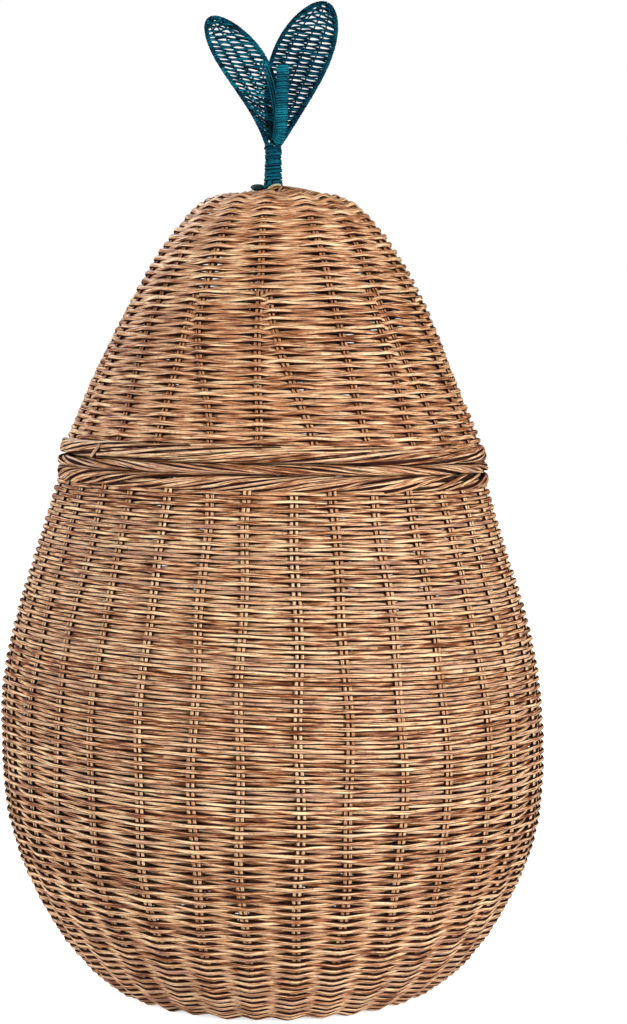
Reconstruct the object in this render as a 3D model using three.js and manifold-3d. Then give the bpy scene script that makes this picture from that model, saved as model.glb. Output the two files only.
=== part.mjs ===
// A pear-shaped rattan storage basket with a domed lift-off lid, a bound stem, a stalk and two leaves.
// Millimetres, +Z up, the front towards -Y. The origin is the centre of the underside.

import * as THREE from "three";
import { mergeVertices } from "three/addons/utils/BufferGeometryUtils.js";
import Module from "manifold-3d";

const wasm = await Module();
wasm.setup();

// Base
const bellyRadius = 181;
const bellyHeight = 154;
const floorRadius = 104;
const floorHandle = 12; // how far the underside runs on flat before it curls up
const bellyLowerHandle = 92;
const bellyUpperHandle = 85;
const mouthRadius = 143.2;
const mouthLean = 14; // degrees that the wall leans in from upright at the mouth
const mouthHandle = 68;
const baseWallTop = 334.2;
const baseStakePairs = 33;
const baseStakeOffset = 180; // degrees: one pair stands at the back, and two stand beside the front

// Lid
const lidFootStep = 4; // how far the foot of the lid's wall stands back from the mouth's radius
const lidFootLean = 21;
const lidFootHandle = 46;
const shoulderRadius = 62.8;
const shoulderRise = 145; // from the foot of the lid's wall to the shoulder
const shoulderLean = 43;
const shoulderLowerHandle = 40;
const shoulderUpperHandle = 13;
const crownRise = 21.3; // from the shoulder to the top of the crown
const crownHandle = 50;
const lidStakePairs = 25;
const lidStakeOffset = -3; // degrees that the front pair stands to the left

// Woven walls and stakes
const weaveThickness = 4.4;
const weaveRelief = 2; // how far a wall's outside stands back halfway between two pairs of stakes
const fullReliefRadius = 50; // inside this radius the lid's relief fades towards the axis
const rodDiameter = 2.2;
const rodsPerStake = 2;
const rodSpacing = 3;
const hubMargin = 4; // how far each hub reaches past the ring where its stakes come together
const seatGap = 0.3; // between pieces that rest on each other

// Borders and the lid's collar
const borderDepth = 9.4;
const baseBorderHeight = 10.7;
const lidRollHeight = 6.6;
const lidBundleHeight = 10.6;
const lidBundleInset = 0.8; // how far the upper bundle stands back from the roll
const borderChamfer = 2.2;
const collarClearance = 1.8; // from the collar to the base border, all round
const collarThickness = 3.4;
const collarDrop = 12; // how far the collar reaches below the lid's underside

// Stem
const stemCoreRadius = 4;
const stemHeight = 28; // of the core above the crown
const stemTail = 9; // of the core inside the crown
const stemCaneDiameter = 1.6;
const stemLoops = 9;
const stemPitch = 2.05;
const caneBend = 1; // radius of the bend at each end of a winding
const footWrapThickness = 2.3;
const footWrapHeight = 3.2;
const footWrapTaper = 0.5; // how much thinner the foot wrap is at its top

// Stalk
const stalkCoreRadius = 2.1;
const stalkFoot = { x: 1.9, y: -2.3 };
const stalkTop = { x: 6.2, y: -6.4, rise: 52 };
const stalkKnee = { x: 5.6, y: -6.1, rise: 8 };
const stalkKneeHandle = 2.7;
const stalkCaneDiameter = 1.8;
const stalkLoops = 17;
const stalkPitch = 2.28;

// The two ties that lie on the crown
const tieLoop = { length: 8.6, width: 6.4, height: 4.2, x: -11, y: -2.4 };
const tieStrand = { diameter: 1.4, reach: 4.8, rise: 2.2, x: 0.8, y: -8.1 };

// Leaves
const leafRodDiameter = 2.2;
const leafLegSpread = 1.5; // half the distance between a leaf rod's two feet
const leafFootGap = 1; // lifts a leaning rod's end clear of the stem core
const leafThickness = 2.4;
const ribDiameter = 1.4;
const ribShares = [-0.52, 0, 0.52]; // of the half width, across the leaf
const ribStart = 0.24; // of the leaf's length
const ribEnd = 0.92;
const weaveStart = 0.15;
const bulgeSkew = 0.75; // below 1, a leaf's middle line bulges most nearer its foot
const widthSkew = 1.5; // above 1, a leaf is widest nearer its tip
const leafShares = [0, 0.07, 0.18, 0.32, 0.47, 0.62, 0.76, 0.88, 0.95, 0.985]; // points of its outline
const leaves = [
  {
    side: "left",
    length: 91,
    halfWidth: 13,
    bulge: 7.4,
    lean: -22.9,
    pitch: 0,
    yaw: 0,
    x: -2.6,
    y: -0.4,
  },
  {
    side: "right",
    length: 99.4,
    halfWidth: 15.7,
    bulge: -4.5,
    lean: 18.8,
    pitch: -3,
    yaw: -10,
    x: 2,
    y: 2.3,
  },
];

// How finely round and curved shapes are divided
const wallSegments = 48;
const bowlSegments = 6;
const neckSegments = 4;
const lidSideSegments = 4;
const crownSegments = 5;
const stemSegments = 24;
const rodSides = 8;
const caneSides = 5;
const stemLoopSides = 14;
const stalkLoopSides = 12;
const bendSegments = 3;
const stalkSegments = 10;
const strandSegments = 8;
const tieSegments = 12;
const leafRodSegments = 40;
const leafRodSides = 6;
const ribSegments = 6;
const ribKnots = 4;
const panelSegments = 36;
const weldDistance = 1e-3;

// Colours
const rattan = { color: 0xa9744a, roughness: 0.62, metalness: 0 };
const rattanDark = { color: 0x8d5c38, roughness: 0.66, metalness: 0 };
const teal = { color: 0x0b5f78, roughness: 0.5, metalness: 0 };
const tealDark = { color: 0x084a5f, roughness: 0.55, metalness: 0 };
const mossGreen = { color: 0x2f4d45, roughness: 0.6, metalness: 0 };
const paleGreen = { color: 0xa9b98a, roughness: 0.6, metalness: 0 };

// Sizes that follow from the ones above
const lidFootRadius = mouthRadius - lidFootStep;
const baseHeight = baseWallTop + seatGap + baseBorderHeight;
const lidBottom = baseHeight + seatGap;
const lidBundleBottom = lidBottom + lidRollHeight + seatGap;
const lidWallBottom = lidBundleBottom + lidBundleHeight + seatGap;
const shoulderHeight = lidWallBottom + shoulderRise;
const crownTop = shoulderHeight + crownRise;
const borderInner = mouthRadius - borderDepth;
const stakeWidth = rodSpacing * (rodsPerStake - 1) + rodDiameter;
const flatDrop = (stakeWidth / 2) * Math.tan(Math.PI / lidStakePairs); // of a wall's flats beside a stake
const stakeClearance = seatGap + flatDrop;
const stemTop = crownTop + stemHeight;

const part = new THREE.Group();

// Adds one named piece to a group.
function piece(name, geometry, finish, group = part) {
  const mesh = new THREE.Mesh(geometry, new THREE.MeshStandardMaterial(finish));
  mesh.name = name;
  group.add(mesh);
  return mesh;
}

// A profile of [radius, height] points turned about the Z axis.
function turned(profile, segments = wallSegments) {
  const points = profile.map((p) => new THREE.Vector2(p.x, p.y));
  return new THREE.LatheGeometry(points, segments).rotateX(Math.PI / 2);
}

// The unit direction that leans by some degrees from upright towards the axis.
function leaning(degrees) {
  const angle = THREE.MathUtils.degToRad(degrees);
  return new THREE.Vector2(-Math.sin(angle), Math.cos(angle));
}

// A cubic curve between two points of a profile, with its two handles.
function arch(start, startHandle, endHandle, end) {
  return new THREE.CubicBezierCurve(start, start.clone().add(startHandle), end.clone().sub(endHandle), end);
}

// The outer side of the base wall, from the underside to the mouth.
function baseOutline() {
  const belly = new THREE.Vector2(bellyRadius, bellyHeight);
  const bowl = arch(
    new THREE.Vector2(floorRadius, 0),
    new THREE.Vector2(floorHandle, 0),
    new THREE.Vector2(0, bellyLowerHandle),
    belly,
  );
  const neck = arch(
    belly,
    new THREE.Vector2(0, bellyUpperHandle),
    leaning(mouthLean).multiplyScalar(mouthHandle),
    new THREE.Vector2(mouthRadius, baseWallTop),
  );
  return [bowl, neck];
}

// The outer side of the lid wall, from its foot to the crown.
function lidOutline() {
  const shoulder = new THREE.Vector2(shoulderRadius, shoulderHeight);
  const side = arch(
    new THREE.Vector2(lidFootRadius, lidWallBottom),
    leaning(lidFootLean).multiplyScalar(lidFootHandle),
    leaning(shoulderLean).multiplyScalar(shoulderLowerHandle),
    shoulder,
  );
  const crown = arch(
    shoulder,
    leaning(shoulderLean).multiplyScalar(shoulderUpperHandle),
    new THREE.Vector2(-crownHandle, 0),
    new THREE.Vector2(0, crownTop),
  );
  return [side, crown];
}

// Points at even steps along each of two joined curves, moved inwards by a depth square to the curve.
// The outlines climb with the inside of the basket on their left.
function inset(curves, steps, depth) {
  const points = [];
  curves.forEach((curve, index) => {
    for (let i = Math.min(index, 1); i <= steps[index]; i += 1) {
      const at = curve.getPointAt(i / steps[index]);
      const along = curve.getTangentAt(i / steps[index]);
      points.push(new THREE.Vector2(at.x - along.y * depth, at.y + along.x * depth));
    }
  });
  return points;
}

// Slides the end of a row of points along its last stretch, to end level at a height.
function endLevel(points, end, next, height) {
  const share = (height - points[end].y) / (points[next].y - points[end].y);
  points[end].lerp(points[next], share);
}

// The base wall's points at a depth, level at the mouth.
function baseInset(depth) {
  const points = inset(baseOutline(), [bowlSegments, neckSegments], depth);
  endLevel(points, points.length - 1, points.length - 2, baseWallTop);
  return points;
}

// The lid wall's points at a depth, level at the foot.
function lidInset(depth) {
  const points = inset(lidOutline(), [lidSideSegments, crownSegments], depth);
  endLevel(points, 0, 1, lidWallBottom);
  return points;
}

// The point of a row of points at a radius, between the two points on either side of it.
function atRadius(points, radius) {
  const next = points.findIndex((p) => p.x <= radius);
  const share = (radius - points[next].x) / (points[next - 1].x - points[next].x);
  return points[next].clone().lerp(points[next - 1], share);
}

// A woven wall turned about the Z axis. Outside it has a crest at each pair of stakes and a trough halfway
// to the next pair, and inside it has a corner at each pair. Its three profiles climb from the foot and
// have as many points each.
function wovenWall(crest, trough, inside, pairs, offset) {
  const rows = crest.length;
  const steps = 2 * pairs;
  const positions = [];
  const addRing = (points) => {
    points.forEach((p, j) => {
      const turn = THREE.MathUtils.degToRad(offset) + (j / points.length) * 2 * Math.PI;
      positions.push(p.x * Math.sin(turn), -p.x * Math.cos(turn), p.y);
    });
  };
  for (let i = 0; i < rows; i += 1) {
    addRing(Array.from({ length: steps }, (_, j) => (j % 2 ? trough[i] : crest[i])));
  }
  for (let i = 0; i < rows; i += 1) {
    addRing(Array.from({ length: pairs }, () => inside[i]));
  }
  const outer = (i, j) => i * steps + (j % steps);
  const inner = (i, j) => rows * steps + i * pairs + (j % pairs);

  const faces = [];
  for (let i = 0; i + 1 < rows; i += 1) {
    for (let j = 0; j < steps; j += 1) {
      faces.push(outer(i, j), outer(i, j + 1), outer(i + 1, j + 1));
      faces.push(outer(i, j), outer(i + 1, j + 1), outer(i + 1, j));
    }
    for (let j = 0; j < pairs; j += 1) {
      faces.push(inner(i, j), inner(i + 1, j), inner(i + 1, j + 1));
      faces.push(inner(i, j), inner(i + 1, j + 1), inner(i, j + 1));
    }
  }
  const last = rows - 1;
  for (let j = 0; j < pairs; j += 1) {
    faces.push(inner(last, j), outer(last, 2 * j), outer(last, 2 * j + 1));
    faces.push(inner(last, j), outer(last, 2 * j + 1), inner(last, j + 1));
    faces.push(inner(last, j + 1), outer(last, 2 * j + 1), outer(last, 2 * j + 2));
    faces.push(inner(0, j), outer(0, 2 * j + 1), outer(0, 2 * j));
    faces.push(inner(0, j), inner(0, j + 1), outer(0, 2 * j + 1));
    faces.push(inner(0, j + 1), outer(0, 2 * j + 2), outer(0, 2 * j + 1));
  }
  const geometry = new THREE.BufferGeometry();
  geometry.setAttribute("position", new THREE.Float32BufferAttribute(positions, 3));
  geometry.setIndex(faces);
  geometry.computeVertexNormals();
  return geometry;
}

// A closed mesh as a manifold-3d solid.
function solidOf(geometry) {
  const bare = geometry.clone();
  bare.deleteAttribute("normal");
  bare.deleteAttribute("uv");
  const merged = mergeVertices(bare, weldDistance);
  const mesh = new wasm.Mesh({
    numProp: 3,
    vertProperties: merged.attributes.position.array,
    triVerts: new Uint32Array(merged.index.array),
  });
  return new wasm.Manifold(mesh);
}

// A manifold-3d solid as a geometry.
function geometryOf(solid) {
  const mesh = solid.getMesh();
  const geometry = new THREE.BufferGeometry();
  geometry.setAttribute("position", new THREE.BufferAttribute(mesh.vertProperties, 3));
  geometry.setIndex(new THREE.BufferAttribute(mesh.triVerts, 1));
  geometry.computeVertexNormals();
  return geometry;
}

// A ring of rectangular section with its four corners cut off.
function border(inner, outer, bottom, height) {
  const cut = borderChamfer;
  const top = bottom + height;
  const profile = [
    [inner + cut, bottom],
    [outer - cut, bottom],
    [outer, bottom + cut],
    [outer, top - cut],
    [outer - cut, top],
    [inner + cut, top],
    [inner, top - cut],
    [inner, bottom + cut],
    [inner + cut, bottom],
  ];
  return turned(profile.map(([r, z]) => new THREE.Vector2(r, z)));
}

// One pair of stakes as a bent bar: a strip of the meridian plane, as wide as its rods side by side.
function stakeBar(outer, inner, turn) {
  const shape = new THREE.Shape([...outer, ...inner.slice().reverse()]);
  const bar = new THREE.ExtrudeGeometry(shape, { depth: stakeWidth, bevelEnabled: false });
  return bar
    .translate(0, 0, -stakeWidth / 2)
    .rotateX(Math.PI / 2)
    .rotateZ(turn - Math.PI / 2);
}

// A cage of stake bars that come together in a hub at the axis.
function cage(outer, inner, count, offset, hub) {
  let whole = solidOf(hub);
  for (let i = 0; i < count; i += 1) {
    const turn = THREE.MathUtils.degToRad(offset) + (i / count) * 2 * Math.PI;
    whole = whole.add(solidOf(stakeBar(outer, inner, turn)));
  }
  return geometryOf(whole);
}

// The radius at which a number of stakes side by side fill a full circle, plus the hub's margin.
function hubRadius(count) {
  return (count * stakeWidth) / (2 * Math.PI) + hubMargin;
}

function buildBase() {
  const profiles = [baseInset(0), baseInset(weaveRelief), baseInset(weaveThickness)];
  piece("base_weave", wovenWall(...profiles, baseStakePairs, baseStakeOffset), rattan);

  const discRadius = floorRadius - seatGap;
  const disc = new THREE.CylinderGeometry(discRadius, discRadius, weaveThickness, baseStakePairs);
  disc.rotateX(Math.PI / 2).rotateZ(THREE.MathUtils.degToRad(baseStakeOffset));
  piece("base_floor", disc, rattan).position.z = weaveThickness / 2;

  const near = weaveThickness + stakeClearance;
  const far = near + rodDiameter;
  const hub = hubRadius(baseStakePairs);
  const startsAt = hub - hubMargin / 2;
  const outer = [new THREE.Vector2(startsAt, near), ...baseInset(near)];
  const inner = [new THREE.Vector2(startsAt, far), ...baseInset(far)];
  const disk = new THREE.CylinderGeometry(hub, hub, rodDiameter, wallSegments);
  disk.rotateX(Math.PI / 2).translate(0, 0, (near + far) / 2);
  piece("base_stakes", cage(outer, inner, baseStakePairs, baseStakeOffset, disk), rattanDark);

  const ring = border(borderInner, mouthRadius, baseWallTop + seatGap, baseBorderHeight);
  piece("base_border", ring, rattan);
}

function buildLid() {
  const crownHole = stemCoreRadius + seatGap;
  const crest = lidInset(0).slice(0, -1);
  const deep = lidInset(weaveRelief);
  const trough = crest.map((p, i) => p.clone().lerp(deep[i], Math.min(1, p.x / fullReliefRadius)));
  const inside = lidInset(weaveThickness).slice(0, -1);
  const lip = new THREE.Vector2(crownHole, crownTop);
  crest.push(lip);
  trough.push(lip);
  inside.push(lip.clone().setY(crownTop - weaveThickness));
  piece("lid_weave", wovenWall(crest, trough, inside, lidStakePairs, lidStakeOffset), rattan);

  const near = weaveThickness + stakeClearance;
  const far = near + rodDiameter;
  const hub = hubRadius(lidStakePairs);
  const startsAt = hub - hubMargin / 2;
  const hubTop = atRadius(lidInset(near), hub).y;
  const hubBottom = hubTop - rodDiameter;
  const outer = lidInset(near).filter((p) => p.x > hub);
  const inner = lidInset(far).filter((p) => p.x > hub);
  outer.push(new THREE.Vector2(hub, hubTop), new THREE.Vector2(startsAt, hubTop));
  inner.push(new THREE.Vector2(hub, hubBottom), new THREE.Vector2(startsAt, hubBottom));
  const hubRing = turned(
    [
      [crownHole, hubBottom],
      [hub, hubBottom],
      [hub, hubTop],
      [crownHole, hubTop],
      [crownHole, hubBottom],
    ].map(([r, z]) => new THREE.Vector2(r, z)),
  );
  piece("lid_stakes", cage(outer, inner, lidStakePairs, lidStakeOffset, hubRing), rattanDark);

  const collarOuter = borderInner - collarClearance;
  const collarInner = collarOuter - collarThickness;
  const rollInner = collarOuter + seatGap;
  const roll = border(rollInner, mouthRadius, lidBottom, lidRollHeight);
  piece("lid_border_lower", roll, rattan);
  const bundle = border(rollInner, mouthRadius - lidBundleInset, lidBundleBottom, lidBundleHeight);
  piece("lid_border_upper", bundle, rattan);

  const collarBottom = lidBottom - collarDrop;
  const collarTop = lidBundleBottom + lidBundleHeight / 2;
  const collar = [
    [collarInner, collarBottom],
    [collarOuter, collarBottom],
    [collarOuter, collarTop],
    [collarInner, collarTop],
    [collarInner, collarBottom],
  ];
  piece("lid_collar", turned(collar.map(([r, z]) => new THREE.Vector2(r, z))), rattanDark);
}

// A round rod along a curve. A full circle takes two points for each curve segment.
function rod(curve, radius, steps, sides = rodSides) {
  const section = new THREE.Shape().absarc(0, 0, radius, 0, 2 * Math.PI);
  return new THREE.ExtrudeGeometry(section, { steps, curveSegments: sides / 2, extrudePath: curve });
}

// The least distance between the surfaces of a winding's own turns, measured on the points of its route.
function leastGap(route, caneDiameter, loopSides) {
  let least = Infinity;
  for (let i = 0; i < route.length; i += 1) {
    for (let j = i + Math.floor(loopSides / 2); j < route.length; j += 1) {
      least = Math.min(least, route[i].distanceTo(route[j]));
    }
  }
  return least - caneDiameter;
}

// Cane wound round an upright core as one unbroken tube. Its route is drawn on the cylinder unrolled:
// straight up for one diameter, a quarter bend, the climbing loops, a bend back, and straight up again.
function winding(name, radius, caneDiameter, loops, pitch, loopSides) {
  const circumference = 2 * Math.PI * radius;
  const climb = Math.atan2(pitch, circumference);
  const upright = Math.PI / 2;
  const stepLength = circumference / loopSides;
  const bendStep = (caneBend * (upright - climb)) / bendSegments;
  const headings = [upright];
  const lengths = [caneDiameter];
  for (let i = 1; i <= bendSegments; i += 1) {
    headings.push(upright + ((climb - upright) * i) / (bendSegments + 1));
    lengths.push(bendStep);
  }
  for (let i = 0; i < loops * loopSides; i += 1) {
    headings.push(climb);
    lengths.push(stepLength / Math.cos(climb));
  }
  for (let i = 1; i <= bendSegments; i += 1) {
    headings.push(climb + ((upright - climb) * i) / (bendSegments + 1));
    lengths.push(bendStep);
  }
  headings.push(upright);
  lengths.push(caneDiameter);

  const route = [];
  const rings = [];
  let across = 0;
  let up = 0;
  for (let i = 0; i <= headings.length; i += 1) {
    const before = headings[Math.max(i - 1, 0)];
    const after = headings[Math.min(i, headings.length - 1)];
    const heading = (before + after) / 2;
    const turn = across / radius;
    const out = new THREE.Vector3(Math.cos(turn), Math.sin(turn), 0);
    const round = new THREE.Vector3(-Math.sin(turn), Math.cos(turn), 0);
    const side = round.multiplyScalar(-Math.sin(heading)).setZ(Math.cos(heading));
    const centre = out.clone().multiplyScalar(radius).setZ(up);
    route.push(centre);
    rings.push({ centre, out, side });
    if (i < headings.length) {
      across += Math.cos(headings[i]) * lengths[i];
      up += Math.sin(headings[i]) * lengths[i];
    }
  }
  const gap = leastGap(route, caneDiameter, loopSides);
  console.log(name + ": least gap to itself " + gap.toFixed(2) + " mm");
  return tubeOfRings(rings, caneDiameter / 2, caneSides);
}

// A tube through rings that each have a centre and two directions across, closed by a fan at each end.
function tubeOfRings(rings, radius, sides) {
  const positions = [];
  const faces = [];
  rings.forEach(({ centre, out, side }) => {
    for (let k = 0; k < sides; k += 1) {
      const angle = (k / sides) * 2 * Math.PI;
      const point = centre
        .clone()
        .addScaledVector(out, Math.cos(angle) * radius)
        .addScaledVector(side, Math.sin(angle) * radius);
      positions.push(point.x, point.y, point.z);
    }
  });
  for (let i = 0; i + 1 < rings.length; i += 1) {
    for (let k = 0; k < sides; k += 1) {
      const a = i * sides + k;
      const b = i * sides + ((k + 1) % sides);
      faces.push(a, b + sides, b, a, a + sides, b + sides);
    }
  }
  const last = (rings.length - 1) * sides;
  for (let k = 1; k + 1 < sides; k += 1) {
    faces.push(0, k, k + 1);
    faces.push(last, last + k + 1, last + k);
  }
  const geometry = new THREE.BufferGeometry();
  geometry.setAttribute("position", new THREE.Float32BufferAttribute(positions, 3));
  geometry.setIndex(faces);
  geometry.computeVertexNormals();
  return geometry;
}

function buildStem() {
  const coreLength = stemTail + stemHeight;
  const core = new THREE.CylinderGeometry(stemCoreRadius, stemCoreRadius, coreLength, stemSegments);
  piece("stem_core", core.rotateX(Math.PI / 2), tealDark).position.z = stemTop - coreLength / 2;

  const wrapInner = stemCoreRadius + seatGap;
  const wrapBottom = crownTop + seatGap;
  const wrapTop = wrapBottom + footWrapHeight;
  const wrap = [
    [wrapInner, wrapBottom],
    [wrapInner + footWrapThickness, wrapBottom],
    [wrapInner + footWrapThickness - footWrapTaper, wrapTop],
    [wrapInner, wrapTop],
    [wrapInner, wrapBottom],
  ];
  piece("stem_foot_wrap", turned(wrap.map(([r, z]) => new THREE.Vector2(r, z)), stemSegments), teal);

  const radius = stemCoreRadius + seatGap + stemCaneDiameter / 2;
  const cane = [stemCaneDiameter, stemLoops, stemPitch, stemLoopSides];
  const binding = winding("stem_binding", radius, ...cane);
  piece("stem_binding", binding, teal).position.z = wrapTop + seatGap;

  const loop = new THREE.SphereGeometry(1, tieSegments, tieSegments / 2);
  loop.scale(tieLoop.length / 2, tieLoop.width / 2, tieLoop.height / 2);
  const tie = piece("crown_tie_loop", loop, mossGreen);
  tie.position.set(tieLoop.x, tieLoop.y, crownTop + seatGap + tieLoop.height / 2);

  const strandFoot = crownTop + seatGap + tieStrand.diameter / 2;
  const strandPath = new THREE.QuadraticBezierCurve3(
    new THREE.Vector3(tieStrand.x - tieStrand.reach, tieStrand.y, strandFoot),
    new THREE.Vector3(tieStrand.x, tieStrand.y, strandFoot + 2 * tieStrand.rise),
    new THREE.Vector3(tieStrand.x + tieStrand.reach, tieStrand.y, strandFoot),
  );
  piece("crown_tie_strand", rod(strandPath, tieStrand.diameter / 2, strandSegments), paleGreen);
}

function buildStalk() {
  const foot = new THREE.Vector3(stalkFoot.x, stalkFoot.y, stemTop + seatGap);
  const top = new THREE.Vector3(stalkTop.x, stalkTop.y, stemTop + stalkTop.rise);
  const knee = new THREE.Vector3(stalkKnee.x, stalkKnee.y, stemTop + stalkKnee.rise);
  const upward = top.clone().sub(knee).normalize();
  const path = new THREE.CurvePath();
  path.add(
    new THREE.CubicBezierCurve3(
      foot,
      foot.clone().setZ(foot.z + stalkKneeHandle),
      knee.clone().addScaledVector(upward, -stalkKneeHandle),
      knee,
    ),
  );
  path.add(new THREE.LineCurve3(knee, top));
  piece("stalk_core", rod(path, stalkCoreRadius, stalkSegments), tealDark);

  const radius = stalkCoreRadius + seatGap + stalkCaneDiameter / 2;
  const cane = [stalkCaneDiameter, stalkLoops, stalkPitch, stalkLoopSides];
  const binding = winding("stalk_binding", radius, ...cane);
  const wound = new THREE.Group();
  wound.position.copy(knee);
  wound.quaternion.setFromUnitVectors(new THREE.Vector3(0, 0, 1), upward);
  piece("stalk_binding", binding, teal, wound);
  part.add(wound);
}

// The middle line of a leaf and its half width at a share of its length, in the leaf's own plane.
function leafMiddle(leaf, share) {
  return leaf.bulge * Math.sin(Math.PI * Math.pow(share, bulgeSkew));
}

function leafHalfWidth(leaf, share) {
  const swell = Math.sqrt(Math.sin(Math.PI * Math.pow(share, widthSkew)));
  return leafLegSpread * (1 - share) + leaf.halfWidth * swell;
}

// The leaf rod's middle line: up one edge, over the tip and down the other.
function leafEdge(leaf) {
  const edge = (side) => (share) =>
    new THREE.Vector3(leafMiddle(leaf, share) + side * leafHalfWidth(leaf, share), 0, share * leaf.length);
  const tip = new THREE.Vector3(leafMiddle(leaf, 1), 0, leaf.length);
  const points = [...leafShares.map(edge(-1)), tip, ...leafShares.map(edge(1)).reverse()];
  return new THREE.CatmullRomCurve3(points, false, "centripetal");
}

// Points beside a line of the leaf's plane, some distance to its right, as x and z.
function beside(curve, from, to, steps, distance) {
  const points = [];
  for (let i = 0; i <= steps; i += 1) {
    const share = THREE.MathUtils.lerp(from, to, i / steps);
    const at = curve.getPointAt(share);
    const along = curve.getTangentAt(share);
    points.push(new THREE.Vector2(at.x + along.z * distance, at.z - along.x * distance));
  }
  return points;
}

// A rib's middle line, at a share of the way across the leaf.
function ribLine(leaf, across) {
  const inner = (share) => leafHalfWidth(leaf, share) - leafRodDiameter / 2;
  const points = [];
  for (let i = 0; i < ribKnots; i += 1) {
    const share = THREE.MathUtils.lerp(ribStart, ribEnd, i / (ribKnots - 1));
    points.push(new THREE.Vector3(leafMiddle(leaf, share) + across * inner(share), 0, share * leaf.length));
  }
  return new THREE.CatmullRomCurve3(points);
}

// The woven panel inside the rod, with a slot round each rib. The rod runs up one edge and down the
// other, so a share of the leaf's length is about half as large a share of the rod.
function leafPanel(leaf, edge) {
  const insetBy = leafRodDiameter / 2 + seatGap;
  const shape = new THREE.Shape(beside(edge, weaveStart / 2, 1 - weaveStart / 2, panelSegments, insetBy));
  const slotHalf = ribDiameter / 2 + seatGap;
  ribShares.forEach((across) => {
    const line = ribLine(leaf, across);
    const start = line.getPoint(0);
    const end = line.getPoint(1);
    const startWay = line.getTangent(0).multiplyScalar(seatGap);
    const endWay = line.getTangent(1).multiplyScalar(seatGap);
    const right = beside(line, 0, 1, ribSegments, slotHalf);
    const left = beside(line, 0, 1, ribSegments, -slotHalf).reverse();
    right[0].set(start.x + slotHalf - startWay.x, start.z - startWay.z);
    left[left.length - 1].set(start.x - slotHalf - startWay.x, start.z - startWay.z);
    right[right.length - 1].set(end.x + slotHalf + endWay.x, end.z + endWay.z);
    left[0].set(end.x - slotHalf + endWay.x, end.z + endWay.z);
    shape.holes.push(new THREE.Path([...right, ...left]));
  });
  const panel = new THREE.ExtrudeGeometry(shape, { depth: leafThickness, bevelEnabled: false });
  return panel.translate(0, 0, -leafThickness / 2).rotateX(Math.PI / 2);
}

function buildLeaf(leaf) {
  const group = new THREE.Group();
  group.position.set(leaf.x, leaf.y, stemTop + leafFootGap);
  group.rotation.order = "YXZ";
  group.rotation.set(
    THREE.MathUtils.degToRad(leaf.pitch),
    THREE.MathUtils.degToRad(leaf.lean),
    THREE.MathUtils.degToRad(leaf.yaw),
  );
  const name = "leaf_" + leaf.side;
  const edge = leafEdge(leaf);
  piece(name + "_frame", rod(edge, leafRodDiameter / 2, leafRodSegments, leafRodSides), teal, group);
  ribShares.forEach((across, index) => {
    const rib = rod(ribLine(leaf, across), ribDiameter / 2, ribSegments, leafRodSides);
    piece(name + "_rib_" + (index + 1), rib, tealDark, group);
  });
  piece(name + "_weave", leafPanel(leaf, edge), teal, group);
  part.add(group);
}

buildBase();
buildLid();
buildStem();
buildStalk();
leaves.forEach(buildLeaf);

export default part;
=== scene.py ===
"""The looks of a pear-shaped rattan storage basket with a lift-off lid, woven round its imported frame.

Lengths are in metres and angles in radians, unless a name or a unit says otherwise. +Z is up and the
front is towards -Y. An azimuth is 0 at the front and grows to the right, as seen from the front.
"""

import bpy
import numpy as np
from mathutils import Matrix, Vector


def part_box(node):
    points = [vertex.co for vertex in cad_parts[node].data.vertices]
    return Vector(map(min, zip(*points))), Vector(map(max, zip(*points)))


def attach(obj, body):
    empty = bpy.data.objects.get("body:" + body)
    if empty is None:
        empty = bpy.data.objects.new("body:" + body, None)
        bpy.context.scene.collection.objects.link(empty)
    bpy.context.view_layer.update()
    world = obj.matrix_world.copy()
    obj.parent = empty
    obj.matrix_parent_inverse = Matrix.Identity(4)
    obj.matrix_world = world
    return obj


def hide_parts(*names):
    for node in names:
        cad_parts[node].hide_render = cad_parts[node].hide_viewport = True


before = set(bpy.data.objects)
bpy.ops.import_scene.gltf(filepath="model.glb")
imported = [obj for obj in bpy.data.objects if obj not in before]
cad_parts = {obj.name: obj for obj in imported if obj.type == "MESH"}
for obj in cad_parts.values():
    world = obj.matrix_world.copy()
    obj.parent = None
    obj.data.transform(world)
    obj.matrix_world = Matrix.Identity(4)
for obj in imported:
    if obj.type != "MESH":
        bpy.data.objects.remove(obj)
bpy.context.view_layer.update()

bl_info = {
    "name": "Rattan pear basket",
    "version": (1, 0, 0),
    "blender": (4, 5, 0),
    "location": "3D View > Sidebar > Basket",
    "description": "Weaves a pear-shaped storage basket with a lift-off lid, a stem and two leaves",
    "category": "Add Mesh",
}

MM = 0.001
CURVE_STEPS = 400
FRONT = np.array((0, -1.0, 0))
BACK = -FRONT
UP = np.array((0, 0, 1.0))
X, Y, Z = range(3)


def top_of(node):
    """The height of a CAD node's highest point."""
    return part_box(node)[1].z


def foot_of(node):
    """The height of a CAD node's lowest point."""
    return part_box(node)[0].z


def reach_of(node):
    """How far a round CAD node reaches from the axis."""
    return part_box(node)[1].x


# Properties


def length(name, description, millimetres):
    """A length property, given in millimetres and kept in metres."""
    return bpy.props.FloatProperty(
        name=name, description=description, default=millimetres * MM, unit="LENGTH", precision=5
    )


def degrees(name, description, value):
    """An angle property, given in degrees."""
    return bpy.props.FloatProperty(
        name=name, description=description, default=np.radians(value), subtype="ANGLE"
    )


def number(name, description, value):
    """A plain number property."""
    return bpy.props.FloatProperty(name=name, description=description, default=value)


def count(name, description, value):
    """A whole number property."""
    return bpy.props.IntProperty(name=name, description=description, default=value, min=1)


def colour(name, description, value):
    """A colour property, in linear light."""
    return bpy.props.FloatVectorProperty(
        name=name, description=description, default=value, size=3, subtype="COLOR", min=0, max=1
    )


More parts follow.
